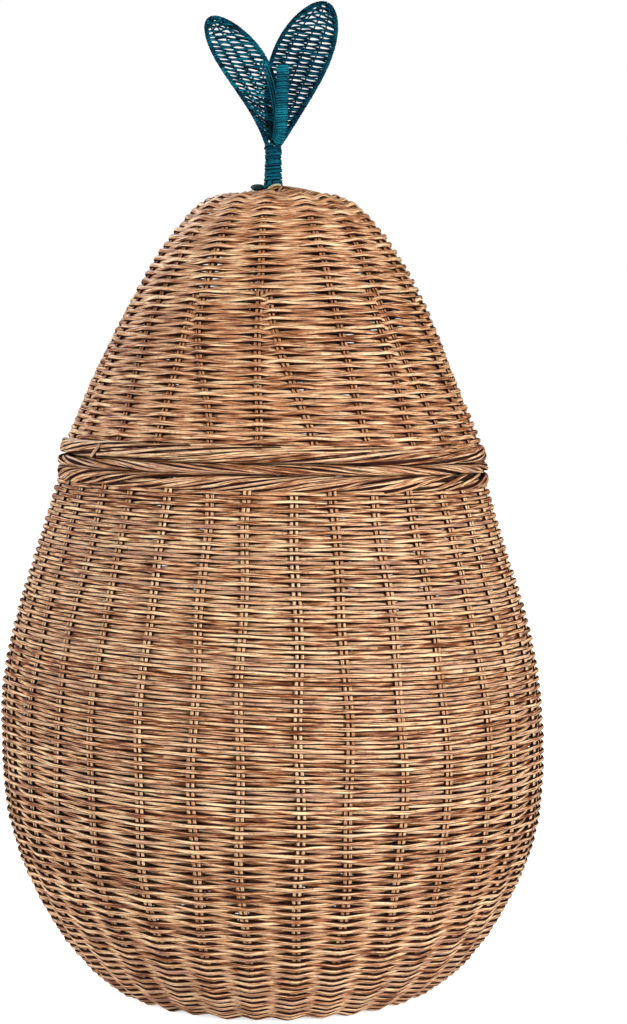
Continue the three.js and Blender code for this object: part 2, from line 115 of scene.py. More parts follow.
class BasketShape(bpy.types.PropertyGroup):
    """The outlines of the base and the lid"""

    belly_height: length("Belly height", "Height of the widest place", 154)
    floor_radius: length("Floor radius", "Radius of the flat underside", 104)
    floor_handle: length("Floor handle", "How far the underside runs on flat", 12)
    belly_lower_handle: length("Lower belly handle", "Fullness below the belly", 92)
    belly_upper_handle: length("Upper belly handle", "Fullness above the belly", 85)
    mouth_radius: length("Mouth radius", "Outer radius at the mouth", 143.2)
    mouth_lean: degrees("Mouth lean", "How far the wall leans in at the mouth", 14)
    mouth_handle: length("Mouth handle", "How long the wall keeps its lean", 68)
    lid_foot_lean: degrees("Lid foot lean", "How far the lid leans in at its foot", 21)
    lid_foot_handle: length("Lid foot handle", "How long the lid keeps its lean", 46)
    shoulder_radius: length("Shoulder radius", "Radius of the lid's shoulder", 62.8)
    shoulder_rise: length("Shoulder rise", "From the lid wall's foot to the shoulder", 145)
    shoulder_lean: degrees("Shoulder lean", "How far the shoulder leans in", 43)
    shoulder_lower_handle: length("Lower shoulder handle", "Fullness below the shoulder", 40)
    shoulder_upper_handle: length("Upper shoulder handle", "Fullness above the shoulder", 13)
    crown_handle: length("Crown handle", "How far the crown runs flat", 50)


class BasketWeave(bpy.types.PropertyGroup):
    """The canes and how they are woven"""

    cane: length("Cane", "Width of a weaver in the base", 3.15)
    flatness: number("Flatness", "A weaver's thickness as a share of its width", 0.72)
    bend: number("Bend", "Above 1, the weavers bend most beside the stakes of the base", 1.35)
    lid_bend: number("Lid bend", "Above 1, the weavers bend most beside the stakes of the lid", 1.7)
    rod: length("Rod", "Diameter of a stake's rod", 2.7)
    rod_spacing: length("Rod spacing", "Between the two rods of a pair", 3.0)
    base_pitch: length("Base pitch", "From row to row in the base", 2.68)
    lid_pitch: length("Lid pitch", "From row to row in the lid", 2.84)
    lid_cane: length("Lid cane", "Width of a weaver in the lid", 3.6)
    lid_rod: length("Lid rod", "Diameter of a stake's rod in the lid", 2.2)
    base_pairs: count("Base pairs", "Pairs of stakes in the base", 33)
    floor_groups: count("Floor groups", "Groups of stakes near the middle of the floor", 11)
    floor_split: length("Floor split", "Radius at which the floor's groups part", 52)
    lid_pairs: count("Lid pairs", "Pairs of stakes at the lid's foot", 25)
    crown_pairs: count("Crown pairs", "Pairs of stakes at the crown", 15)
    lid_split: length("Lid split", "From the lid's foot up to where the pairs part, along the wall", 112)
    tie_in: length("Tie-in", "How far the stakes run on into a border", 6)
    slope: number("Slope", "How far the base's rows run down to the right", 0.04)
    rim_slope: number("Rim slope", "How far the rims run down to the right", 0.019)
    seed: bpy.props.IntProperty(name="Seed", description="Seed of the irregularities", default=7)


class BasketColours(bpy.types.PropertyGroup):
    """The colours of the canes"""

    cream: colour("Cream", "The palest canes", (0.89, 0.66, 0.39))
    straw: colour("Straw", "Light canes", (0.74, 0.445, 0.245))
    tan: colour("Tan", "Most canes", (0.53, 0.235, 0.108))
    brown: colour("Brown", "Dark canes", (0.3, 0.1, 0.034))
    russet: colour("Russet", "The dark streaks", (0.1, 0.022, 0.005))
    # The colour of the painted shade in the creases between the natural canes.
    painted_crease_shade: colour("Painted crease shade", "The creases between the canes", (0.02, 0.003, 0.0005))
    weathered: colour("Weathered", "Canes that have turned grey", (0.56, 0.35, 0.25))
    teal: colour("Teal", "The painted canes", (0.0005, 0.07, 0.112))
    light_teal: colour("Light teal", "Where the paint is thin", (0.002, 0.19, 0.25))
    deep_teal: colour("Deep teal", "Where the paint is thick", (0.0002, 0.02, 0.045))
    # The colour of the painted shade in the creases of the painted canes, and also the leaves' darkest
    # teal.
    darkest_teal_and_painted_shade: colour("Darkest teal and painted shade", "The creases between the painted canes", (0.0005, 0.006, 0.012))
    moss: colour("Moss green", "The flat tie", (0.005, 0.02, 0.016))
    pale_green: colour("Pale green", "The tie strand", (0.5, 0.5, 0.3))


class BasketLeaves(bpy.types.PropertyGroup):
    """The outlines of the two leaves, how they stand and their canes"""

    left_length: length("Left length", "Length of the left leaf", 91)
    left_width: length("Left half width", "Half the width of the left leaf", 13)
    left_bulge: length("Left bulge", "How far its middle line bends to the right", 8.9)
    left_lean: degrees("Left lean", "How far it leans to the left", 25.1)
    left_rows: count("Left rows", "Passes of cane across the left leaf", 53)
    right_length: length("Right length", "Length of the right leaf", 99)
    right_width: length("Right half width", "Half the width of the right leaf", 17.5)
    right_bulge: length("Right bulge", "How far its middle line bends to the left", 4.5)
    right_lean: degrees("Right lean", "How far it leans to the right", 19.3)
    right_rows: count("Right rows", "Passes of cane across the right leaf", 58)
    left_cane: length("Left cane", "Diameter of the cane across the left leaf", 1.4)
    right_cane: length("Right cane", "Diameter of the cane across the right leaf", 1.6)
    edge_rod: length("Edge rod", "Diameter of the rod round a leaf", 2.1)
    rib: length("Rib", "Diameter of a rib", 1.1)


class BasketStem(bpy.types.PropertyGroup):
    """The windings of the stem and of the stalk"""

    stem_turns: number("Stem turns", "Turns of cane round the stem", 11)
    stem_cane: length("Stem cane", "Width of the cane round the stem", 2.15)
    stalk_turns: number("Stalk turns", "Turns of cane round the stalk", 33)
    stalk_cane: length("Stalk cane", "Width of the cane round the stalk", 1.5)


class BasketStage(bpy.types.PropertyGroup):
    """The camera, the lamps and the floor"""

    distance: length("Distance", "From the camera to the basket's axis", 1530)
    height: length("Height", "Height of the camera", 404.3)
    tilt: degrees("Tilt", "How far the camera looks down", 3.334)
    lens: bpy.props.FloatProperty(
        name="Lens", description="Focal length, in millimetres for a 36 mm picture height", default=80.72
    )
    shift: number("Shift", "Sideways shift, as a share of the picture's height", 0.0393)
    key: number("Key lamp", "Power of the lamp in front, at the right, in watts", 84)
    fill: number("Fill lamp", "Power of the lamp at the left, in watts", 25)
    side: number("Side lamp", "Power of the small lamp far to the left, in watts", 27)
    back: number("Back lamp", "Power of the lamp behind, in watts", 36)
    sky: number("Sky", "Strength of the even light", 0.09)


# Shapes


def unit(vectors):
    """Vectors divided by their lengths."""
    return vectors / np.linalg.norm(vectors, axis=-1, keepdims=True)


def smooth(share):
    """The cubic that eases from 0 to 1: 3 s squared minus 2 s cubed, with s kept between 0 and 1."""
    share = np.clip(share, 0, 1)
    return share * share * (3 - 2 * share)


def bezier(start, start_handle, end_handle, end, steps):
    """The cubic curve from start to end, whose handles are added to its start and taken from its end."""
    t = np.linspace(0, 1, steps)[:, None]
    near = start + start_handle
    far = end - end_handle
    return start * (1 - t) ** 3 + near * 3 * t * (1 - t) ** 2 + far * 3 * t * t * (1 - t) + end * t**3


def curve_through(places, steps):
    """A smooth curve through four places: the cubic of the run that meets them at equal steps."""
    run = np.linspace(0, 1, steps)
    met = np.linspace(0, 1, len(places))
    return np.stack([np.polyval(np.polyfit(met, places[:, axis], 3), run) for axis in range(3)], 1)


def hump(length, start, rise, end, fall):
    """A share that grows from 0 to 1 over the rise from a start, and goes back over the fall to an end."""
    return smooth((length - start) / rise) * smooth((end - length) / fall)


def leaning(angle):
    """The unit direction, as radius and height, that leans in from upright by an angle."""
    return np.array((-np.sin(angle), np.cos(angle)))


def level_outward(azimuth):
    """The level unit direction that points outwards at an azimuth: (sin, -cos, 0)."""
    return np.stack((np.sin(azimuth), -np.cos(azimuth), np.zeros_like(azimuth)), -1)


def level_rightward(azimuth):
    """The level unit direction square to that, to the right: (cos, sin, 0)."""
    return np.stack((np.cos(azimuth), np.sin(azimuth), np.zeros_like(azimuth)), -1)


class Profile:
    """The middle line of a wall in the plane of radius and height, at each length along it.

    It is the wall's outline moved in by a depth, square to the outline. It runs on straight for a
    length before the wall's start and after its end. The swell, a function of the length and the
    azimuth, says how far the hand-made wall stands out from that round shape.
    """

    def __init__(self, outline, depth, before=0.0, after=0.0, swell=None):
        self.swell = swell
        first, last = outline[0], outline[-1]
        if before:
            outline = np.concatenate(([first - unit(outline[1] - first) * before], outline))
        if after:
            outline = np.concatenate((outline, [last + unit(last - outline[-2]) * after]))
        way = unit(np.gradient(outline, axis=0))
        outward = np.stack((way[:, 1], -way[:, 0]), 1)
        line = outline - outward * depth
        line[:, 0] = np.maximum(line[:, 0], 0)
        steps = np.linalg.norm(np.diff(line, axis=0), axis=1)
        self.lengths = np.concatenate(([0], np.cumsum(steps)))
        self.line = line
        self.outward = outward
        self.length = self.lengths[-1]
        self.start = before
        self.end = self.length - after

    def at(self, length):
        """Radius, height and the outward direction's two parts at a length along the line."""
        columns = (self.line[:, 0], self.line[:, 1], self.outward[:, 0], self.outward[:, 1])
        return [np.interp(length, self.lengths, column) for column in columns]

    def point(self, length, azimuth, out=0.0, aside=0.0):
        """The point at a length and an azimuth, moved out from the line and aside to the right."""
        radius, height, across, up = self.at(length)
        outward = level_outward(azimuth)
        normal = outward * across[..., None]
        normal[..., 2] = up
        if self.swell is not None:
            out = out + self.swell(length, azimuth)
        place = outward * radius[..., None] + level_rightward(azimuth) * np.asarray(aside)[..., None]
        place[..., 2] += height
        return place + normal * np.asarray(out)[..., None], normal


def base_profile(depth):
    """The base's middle line: across the floor, round the bowl, past the belly and up to the mouth."""
    shape = bpy.context.scene.basket_shape
    belly = np.array((reach_of("base_weave"), shape.belly_height))
    mouth = np.array((shape.mouth_radius, top_of("base_weave")))
    floor_edge = np.array((shape.floor_radius, 0))
    floor = np.linspace((0, 0), floor_edge, CURVE_STEPS // 2, endpoint=False)
    level = np.array((shape.floor_handle, 0))
    bowl = bezier(floor_edge, level, np.array((0, shape.belly_lower_handle)), belly, CURVE_STEPS)
    neck_start = np.array((0, shape.belly_upper_handle))
    neck_end = leaning(shape.mouth_lean) * shape.mouth_handle
    neck = bezier(belly, neck_start, neck_end, mouth, CURVE_STEPS)
    tie_in = bpy.context.scene.basket_weave.tie_in
    return Profile(np.concatenate((floor, bowl[:-1], neck)), depth, after=tie_in, swell=base_swell)


def base_swell(length, azimuth):
    """How far the base stands out from round: at the left above the belly, and at the right of the bowl.

    Each is the square of the azimuth's sine, on its own side only, times a hump of the length.
    """
    left_most = 2.7 * MM
    right_most = 2 * MM
    bowl_start, belly, past_mouth = 0.105, 0.27, 0.49
    left = np.maximum(-np.sin(azimuth), 0) ** 2
    right = np.maximum(np.sin(azimuth), 0) ** 2
    above = hump(length, belly, 0.06, past_mouth, 0.05)
    below = hump(length, bowl_start, 0.03, belly, 0.05)
    return left_most * left * above + right_most * right * below


def lid_swell(length, azimuth):
    """How far the lid stands out from round: most at the right, less in front, and inwards at the left.

    Beside the stem, at the front left, the crown has a dent.
    """
    right_most = 3.8 * MM
    front_share = 0.35
    dent_depth = 2.2 * MM
    dent_azimuth = -0.7
    side_start, crown_start, dent_start = 0.03, 0.204, 0.194
    shoulder = hump(length, side_start, 0.09, crown_start, 0.035)
    side = front_share + (1 - front_share) * np.sin(azimuth)
    beside = np.maximum(np.cos(azimuth - dent_azimuth), 0) ** 3
    return right_most * shoulder * side - dent_depth * smooth((length - dent_start) / 0.014) * beside


def lid_profile(depth):
    """The lid's middle line, from its foot over the shoulder to the crown."""
    shape = bpy.context.scene.basket_shape
    foot = np.array((reach_of("lid_weave"), foot_of("lid_weave")))
    shoulder = np.array((shape.shoulder_radius, foot[1] + shape.shoulder_rise))
    crown = np.array((0, top_of("lid_weave")))
    side_start = leaning(shape.lid_foot_lean) * shape.lid_foot_handle
    side_end = leaning(shape.shoulder_lean) * shape.shoulder_lower_handle
    side = bezier(foot, side_start, side_end, shoulder, CURVE_STEPS)
    over_start = leaning(shape.shoulder_lean) * shape.shoulder_upper_handle
    over = bezier(shoulder, over_start, np.array((-shape.crown_handle, 0)), crown, CURVE_STEPS)
    tie_in = bpy.context.scene.basket_weave.tie_in
    return Profile(np.concatenate((side[:-1], over)), depth, before=tie_in, swell=lid_swell)


class Stakes:
    """A ring of stakes between two lengths of a wall: each runs from one azimuth to another, and wavers.

    An index of 0, 1, 2 and so on is a stake, and a fraction lies between two. The last leads to the first.
    """

    def __init__(self, first, last, start, end, ease, waver, rng):
        self.count = len(first)
        self.first = np.append(first, first[0] + 2 * np.pi)
        self.last = np.append(last, last[0] + 2 * np.pi)
        self.start = start
        self.end = end
        self.ease = ease
        self.waver = waver
        phase = rng.uniform(0, 2 * np.pi, self.count)
        phase = np.append(phase, phase[0])
        self.sine, self.cosine = np.sin(phase), np.cos(phase)

    def azimuth(self, index, length):
        """The azimuth of an index at a length: eased from first to last, plus a slow sine."""
        wave = 0.11
        fading = 0.02
        place = np.mod(index, self.count)
        stakes = np.arange(self.count + 1)
        first = np.interp(place, stakes, self.first)
        last = np.interp(place, stakes, self.last)
        share = smooth((length - self.start) / self.ease)
        turn = (length - self.start) * 2 * np.pi / wave
        fade = hump(length, self.start, fading, self.end, fading)
        sine = np.interp(place, stakes, self.sine)
        cosine = np.interp(place, stakes, self.cosine)
        waver = self.waver * fade * (np.sin(turn) * cosine + np.cos(turn) * sine)
        return first + (last - first) * share + waver


class Strands:
    """Canes gathered for one mesh, each a tube with flat ends, round or flattened.

    A tube's points are its centre line plus its radius times (flat times cos a times the normal plus
    sin a times the side), where the side is square to the line and to the normal, and a goes once round.
    """

    def __init__(self, sides=8):
        self.sides = sides
        self.points = []
        self.quads = []
        self.caps = []
        self.lengthwise = []
        self.strand = []
        self.total = 0

    def add(self, centre, normal, radius, strand, flat=1.0):
        """Adds canes: centre and normal are (canes, points, 3), radius and strand one number a point."""
        centre = centre if centre.ndim == 3 else centre[None]
        normal = np.broadcast_to(normal, centre.shape)
        canes, steps = centre.shape[:2]
        radius = np.broadcast_to(radius, (canes, steps))
        strand = np.broadcast_to(strand, (canes, steps))
        way = unit(np.gradient(centre, axis=1))
        side = unit(np.cross(way, normal))
        up = np.cross(side, way)
        angle = np.arange(self.sides) * 2 * np.pi / self.sides
        cosine, sine = np.cos(angle)[:, None], np.sin(angle)[:, None]
        ring = cosine * flat * up[:, :, None] + sine * side[:, :, None]
        points = centre[:, :, None] + ring * radius[..., None, None]
        gone = np.linalg.norm(np.diff(centre, axis=1), axis=2)
        run = np.concatenate((np.zeros((canes, 1)), np.cumsum(gone, axis=1)), axis=1)

        cane = np.arange(canes)[:, None, None] * steps * self.sides + self.total
        step = np.arange(steps - 1)[None, :, None] * self.sides
        k = np.arange(self.sides)[None, None, :]
        a = cane + step + k
        b = cane + step + (k + 1) % self.sides
        quads = np.stack((a, b, b + self.sides, a + self.sides), -1)
        first = cane[:, 0] + k[0, :, ::-1]
        last = cane[:, 0] + (steps - 1) * self.sides + k[0]
        self.points.append(points.reshape(-1, 3))
        self.quads.append(quads.reshape(-1, 4))
        self.caps.append(np.concatenate((first, last)))
        self.lengthwise.append(np.repeat(run.ravel(), self.sides))
        self.strand.append(np.repeat(strand.ravel(), self.sides))
        self.total += canes * steps * self.sides

    def build(self, name, material, body, slot, *nodes):
        """Makes the mesh, with the attribute strand and the UV map cane: metres along and turns round."""
        points = np.concatenate(self.points)
        quads = np.concatenate(self.quads)
        caps = np.concatenate(self.caps)
        corners = np.concatenate((quads.ravel(), caps.ravel()))
        sizes = np.concatenate((np.full(len(quads), 4), np.full(len(caps), self.sides)))
        mesh = bpy.data.meshes.new(name)
        mesh.vertices.add(len(points))
        mesh.vertices.foreach_set("co", points.astype(np.float32).ravel())
        mesh.loops.add(len(corners))
        mesh.loops.foreach_set("vertex_index", corners.astype(np.int32))
        mesh.polygons.add(len(sizes))
        mesh.polygons.foreach_set("loop_start", (np.cumsum(sizes) - sizes).astype(np.int32))
        mesh.polygons.foreach_set("use_smooth", sizes == 4)
        mesh.update(calc_edges=True)
        strand = mesh.attributes.new("strand", "FLOAT", "POINT")
        strand.data.foreach_set("value", np.concatenate(self.strand).astype(np.float32))
        lengthwise = np.concatenate(self.lengthwise)
        around = (corners % self.sides) / self.sides
        quad_around = around[: quads.size].reshape(-1, 4)
        quad_around[:, 1:3] = quad_around[:, :1] + 1 / self.sides
        mesh.uv_layers.new(name="cane")
        both = np.stack((lengthwise[corners], around), 1)
        mesh.uv_layers["cane"].data.foreach_set("uv", both.astype(np.float32).ravel())
        mesh.materials.append(material)
        piece = bpy.data.objects.new(name, mesh)
        bpy.context.scene.collection.objects.link(piece)
        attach(piece, body)
        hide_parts(*nodes)


# Weaving


def knots_rows(rng, spread, rows, places):
    """Smooth noise for several canes: a random value for each at each whole place, eased to the next."""
    values = rng.normal(0, spread, (rows, int(places.max()) + 2))
    places = np.broadcast_to(places, (rows, places.shape[-1]))
    below = np.floor(places).astype(int)
    share = smooth(places - below)
    row = np.arange(rows)[:, None]
    return values[row, below] * (1 - share) + values[row, below + 1] * share


def knots(rng, spread, places):
    """The same smooth noise for one cane."""
    return knots_rows(rng, spread, 1, places[None])[0]


def strand_numbers(rng, places, shortest, longest):
    """A random number for each cane along a run of half waves, a new one where the cane goes behind."""
    starts = np.cumsum(rng.integers(shortest // 2, longest // 2, int(places.max())) * 2)
    numbers = rng.uniform(0, 1, len(starts) + 1)
    return numbers[np.searchsorted(starts, places + 0.5)]


def shared_drift(rng, length, azimuth, size):
    """Slow waves that move neighbouring rows together: sines of the length and of whole turns."""
    waves = 8
    most_turns = 8
    total = np.zeros_like(length)
    for _ in range(waves):
        turns = rng.integers(1, most_turns + 1)
        wave = rng.uniform(16, 50) * MM
        total = total + np.sin(turns * azimuth + length / wave + rng.uniform(0, 2 * np.pi))
    return size * total / 2


def packed(excess, turn_steps, keep=0.9):
    """How far thick and thin canes push the rows above them, turn after turn.

    It is the offset one turn before times a share that is kept, plus half of both turns' excess.
    """
    turns = -(-len(excess) // turn_steps)
    rows = np.zeros(turns * turn_steps)
    rows[: len(excess)] = excess
    rows = rows.reshape(turns, turn_steps)
    moved = np.zeros_like(rows)
    for turn in range(1, turns):
        moved[turn] = keep * moved[turn - 1] + (rows[turn] + rows[turn - 1]) / 2
    return moved.ravel()[: len(excess)]


def bent_wave(place, bend):
    """A wave of 1 at even places and -1 at odd ones: arcsin(0.95 cos(pi place)), to the bend's power."""
    sharp = 0.95
    straight = np.arcsin(sharp * np.cos(np.pi * place)) / np.arcsin(sharp)
    return np.sign(straight) * np.abs(straight) ** bend


# The peak, the fullness and the calm of a weave that is the same all along
EVEN = (np.zeros_like, np.ones_like, np.ones_like)


def weave(profile, stakes, start, rows, pitch, slope, sizes, rng, varied=EVEN):
    """One cane wound round and round, over one stake and under the next, climbing a pitch a turn.

    The sizes are the cane's width, its reach, its bend and the steps from stake to stake. With q counting
    stakes passed, the azimuth is that of stake q, the length along the wall is start plus pitch times q
    over the count, and the cane stands out by the reach times the bent wave of q. Small noise moves each
    crossing up or down, in or out, and thick canes push their neighbours.

    Three functions of the length vary this. The rows rise by the peak at the stakes, as chevrons. The
    canes are as full as the fullness says. The calm is the share of the wave in and out that is left.
    """
    cane, reach, bend, steps = sizes
    peak, fullness, calm = varied
    turn_steps = stakes.count * steps
    q = np.arange(int(rows * turn_steps) + 1) / steps
    length = start + pitch * q / stakes.count
    azimuth = stakes.azimuth(q, length)
    strand = strand_numbers(rng, q, 8, stakes.count)
    thickness = cane * (0.93 + 0.12 * strand) * (1 + knots(rng, 0.02, q / 3))
    radius = profile.at(length)[0]
    full = fullness(length)
    length = length + packed(thickness - cane, turn_steps) + knots(rng, 0.03 * cane, q)
    length = length + shared_drift(rng, length, azimuth, 0.05 * cane)
    length = length - slope(length) * radius * np.sin(azimuth) + peak(length) * np.cos(2 * np.pi * q)
    wave = calm(length) * bent_wave(q + 1, bend) * (1 + knots(rng, 0.06, q))
    centre, normal = profile.point(length, azimuth, reach * wave + knots(rng, 0.05 * cane, q / 5))
    return centre, normal, thickness * full / 2, strand


def build_bands(name, run, bands, steps, material, body, node):
    """Builds a wound cane as several meshes of about the same size, cut where the cane goes behind."""
    flatness = bpy.context.scene.basket_weave.flatness
    last = len(run[0]) - 1
    cuts = np.linspace(0, last // (2 * steps), bands + 1).astype(int) * 2 * steps
    cuts[-1] = last
    for band in range(bands):
        span = slice(cuts[band], cuts[band + 1] + 1)
        strands = Strands()
        strands.add(*[part[span] for part in run], flatness)
        strands.build(f"{name}_{band + 1}", material, body, "rattan", node)


def even_ring(pairs):
    """The azimuths of stakes set evenly round, from the back."""
    return np.pi + np.arange(pairs) * 2 * np.pi / pairs


def weaver_sizes(cane, rod):
    """How far a weaver's middle stands from the wall's middle, and the wall's half depth.

    The canes give way a little where they press on the rods.
    """
    press = 0.25 * MM
    thickness = cane * bpy.context.scene.basket_weave.flatness
    reach = (rod + thickness) / 2 - press
    return reach, reach + thickness / 2


def base_stakes_ring(rng):
    """The base's stakes, with the floor's start and end, and the mouth."""
    canes = bpy.context.scene.basket_weave
    profile = base_profile(weaver_sizes(canes.cane, canes.rod)[1])
    spread = rng.normal(0, np.radians(0.8), canes.base_pairs)
    even = even_ring(canes.base_pairs)
    ring = Stakes(even, even + spread, 0.08, profile.end, ease=0.16, waver=np.radians(0.35), rng=rng)
    return profile, ring


def base_slope(length):
    """The slope of the base's rows: none on the floor, full past the belly, and less at the mouth."""
    canes = bpy.context.scene.basket_weave
    level_to, full_from, full_to, eased_from = 0.12, 0.24, 0.34, 0.47
    grown = canes.slope * smooth((length - level_to) / (full_from - level_to))
    ease = smooth((length - full_to) / (eased_from - full_to))
    return grown + (canes.rim_slope - canes.slope) * ease


def lid_slope(length):
    """The slope of the lid's rows: that of the rims at its foot, and none at the crown."""
    level_from = 0.16
    return bpy.context.scene.basket_weave.rim_slope * (1 - smooth(length / level_from))


def bowl_fullness(length):
    """How full the canes are: a quarter fuller on the lower part of the bowl."""
    usual_from = 0.24
    return 1 + 0.26 * smooth((usual_from - length) / 0.07)


class BASKET_OT_base_weave(bpy.types.Operator):
    """Weaves the floor and the wall of the base"""

    bl_idname = "basket.base_weave"
    bl_label = "Base weave"

    def execute(self, context):
        canes = context.scene.basket_weave
        rng = np.random.default_rng(canes.seed)
        profile, stakes = base_stakes_ring(rng)
        rattan = rattan_material()
        pitch = canes.base_pitch
        sizes = (canes.cane, weaver_sizes(canes.cane, canes.rod)[0], canes.bend)
        middle_steps, edge_steps, wall_steps = 16, 6, 8
        border_rows = 1.1

        inner = 0.012
        groups = even_ring(canes.floor_groups)
        spread = Stakes(groups, groups, inner, canes.floor_split, 1, 0, rng)
        rows = int((canes.floor_split - inner) / pitch)
        middle = weave(profile, spread, inner, rows, pitch, np.zeros_like, (*sizes, middle_steps), rng)
        edge_start = inner + rows * pitch
        edge_rows = int((context.scene.basket_shape.floor_radius - edge_start) / pitch)
        edge = weave(profile, stakes, edge_start, edge_rows, pitch, base_slope, (*sizes, edge_steps), rng)
        strands = Strands()
        for run in (middle, edge):
            strands.add(*run, canes.flatness)
        strands.build("base_floor_weave", rattan, "base", "rattan", "base_floor")

        wall_start = edge_start + edge_rows * pitch
        rows = (profile.end - wall_start) / pitch + border_rows
        sizes = (*sizes, wall_steps)
        varied = (np.zeros_like, bowl_fullness, np.ones_like)
        wall = weave(profile, stakes, wall_start, rows, pitch, base_slope, sizes, rng, varied)
        build_bands("base_weave_band", wall, 4, wall_steps, rattan, "base", "base_weave")
        return {"FINISHED"}


class BASKET_OT_base_stakes(bpy.types.Operator):
    """Sets the pairs of rods that run across the floor and up the wall, a third of them from further in"""

    bl_idname = "basket.base_stakes"
    bl_label = "Base stakes"

    def execute(self, context):
        canes = context.scene.basket_weave
        rng = np.random.default_rng(canes.seed)
        profile, stakes = base_stakes_ring(rng)
        pairs = np.arange(canes.base_pairs)
        nearer, farther = 0.009, 0.028
        start = np.where(pairs % 3 == 1, nearer, farther)[:, None]
        length = start + (profile.length - start) * np.linspace(0, 1, 76)
        strands = Strands()
        for side in (-1, 1):
            add_rods(strands, profile, stakes, pairs, length, side * canes.rod, rng)
        strands.build("base_stake_rods", stake_material(), "base", "rattan_stake", "base_stakes")
        return {"FINISHED"}


def add_rods(strands, profile, stakes, pairs, length, rod, rng):
    """Adds one rod of each pair, to the right of the pair's middle, or to the left for a negative rod.

    Each rod sways a little from side to side, in a sine of the length.
    """
    canes = bpy.context.scene.basket_weave
    each = (len(pairs), 1)
    sway_size, sway_wave = 0.12 * MM, 0.023
    azimuth = stakes.azimuth(pairs[:, None], length)
    gap = (abs(rod) + canes.rod_spacing - canes.rod) / 2 * rng.uniform(0.9, 1.12, each)
    sway = np.sin(length / sway_wave + rng.uniform(0, 6, each)) * sway_size
    centre, normal = profile.point(length, azimuth, aside=np.sign(rod) * gap + sway)
    radius = abs(rod) / 2 * rng.uniform(0.93, 1.05, each)
    strands.add(centre, normal, radius, rng.uniform(0, 1, each))


def lid_rings(rng):
    """The lid's profile and its two rings of stakes: 25 pairs below the split and 15 above.

    Each fifth of the lid has five pairs at the foot: a, new, b, c and new. The three named ones go on to
    the crown. The first new one starts to the left of b, and the second to the right of c.
    """
    canes = bpy.context.scene.basket_weave
    profile = lid_profile(weaver_sizes(canes.lid_cane, canes.lid_rod)[1])
    split = canes.lid_split
    first_fifth = np.radians(-46.5)
    crown_places = np.radians((-2.8, 19.5, 42.5))
    foot_places = np.radians((0, 14.4, 28.8, 43.2, 57.6))
    beside = 1.9 * canes.rod_spacing / profile.at(split)[0]
    fifths = canes.crown_pairs // 3
    turns = np.arange(fifths)[:, None] * 2 * np.pi / fifths + first_fifth
    upper = turns + crown_places
    upper = upper + rng.normal(0, np.radians(0.9), upper.shape)
    lower = turns + foot_places
    lower = lower + rng.normal(0, np.radians(0.7), lower.shape)
    a, b, c = upper.T
    parting = np.stack((a, b - beside, b, c, c + beside), 1)
    waver = np.radians((0.3, 0.5))
    foot = Stakes(lower.ravel(), parting.ravel(), 0, split, ease=split, waver=waver[0], rng=rng)
    crown = Stakes(upper.ravel(), upper.ravel(), split, profile.length, ease=1, waver=waver[1], rng=rng)
    return profile, foot, crown


def over_shoulder(length, start=0.135):
    """A share that grows over the shoulder, from 0 on the lid's side to 1 on the crown."""
    return smooth((length - start) / 0.05)


def crown_peak(length):
    """How far the rows rise at the stakes: nothing on the lid's side, 1 mm on the crown."""
    return MM * over_shoulder(length, 0.15)


def crown_fullness(length):
    """How full the canes are: a quarter fuller on the crown."""
    return 1 + 0.25 * over_shoulder(length)


def crown_calm(length):
    """The share of the wave in and out that is left: two thirds on the crown."""
    return 1 - 0.35 * over_shoulder(length)


class BASKET_OT_lid_weave(bpy.types.Operator):
    """Weaves the wall of the lid"""

    bl_idname = "basket.lid_weave"
    bl_label = "Lid weave"

    def execute(self, context):
        canes = context.scene.basket_weave
        rng = np.random.default_rng(canes.seed + 1)
        profile, foot, crown = lid_rings(rng)
        rattan = lid_material()
        pitch = canes.lid_pitch
        steps = 10
        border_rows = 1.1
        opening = 0.009
        sizes = (canes.lid_cane, weaver_sizes(canes.lid_cane, canes.lid_rod)[0], canes.lid_bend, steps)
        first = profile.start - border_rows * pitch
        rows = int((canes.lid_split - first) / pitch)
        lower = weave(profile, foot, first, rows, pitch, lid_slope, sizes, rng)
        build_bands("lid_weave_band", lower, 2, steps, rattan, "lid", "lid_weave")
        start = first + rows * pitch
        rows = int((profile.length - opening - start) / pitch)
        varied = (crown_peak, crown_fullness, crown_calm)
        upper = weave(profile, crown, start, rows, pitch, lid_slope, sizes, rng, varied)
        strands = Strands()
        strands.add(*upper, canes.flatness)
        strands.build("lid_crown_weave", rattan, "lid", "rattan", "lid_weave")
        return {"FINISHED"}


def crown_fan(strands, profile, rng):
    """Adds the stakes' ends, which fan out over the crown from a place at the right of the stem's foot.

    Seen from above they are straight lines from that place to a ring, and they dip into the weave there.
    """
    rods = 9
    leftmost, rightmost = np.radians((-42, 84))
    apex = np.array((5.6, -9.0)) * MM
    run = np.linspace(0, 1, 24)[None]
    azimuth = np.linspace(leftmost, rightmost, rods)[:, None] + rng.normal(0, 0.05, (rods, 1))
    ring = rng.uniform(26, 34, (rods, 1)) * MM
    x = apex[0] + (ring * np.sin(azimuth) - apex[0]) * run
    y = apex[1] + (-ring * np.cos(azimuth) - apex[1]) * run
    surface = weaver_sizes(bpy.context.scene.basket_weave.lid_cane, 2 * MM)[1]
    lift, sunk, dip = np.array((0.9, 0.3, 2.0)) * MM
    out = surface + lift * (1 - run) ** 2 - sunk - dip * run**2
    centre, normal = profile.point(profile.length - np.hypot(x, y), np.arctan2(x, -y), out)
    strands.add(centre, normal, MM, rng.uniform(0.2, 1, (rods, 1)))


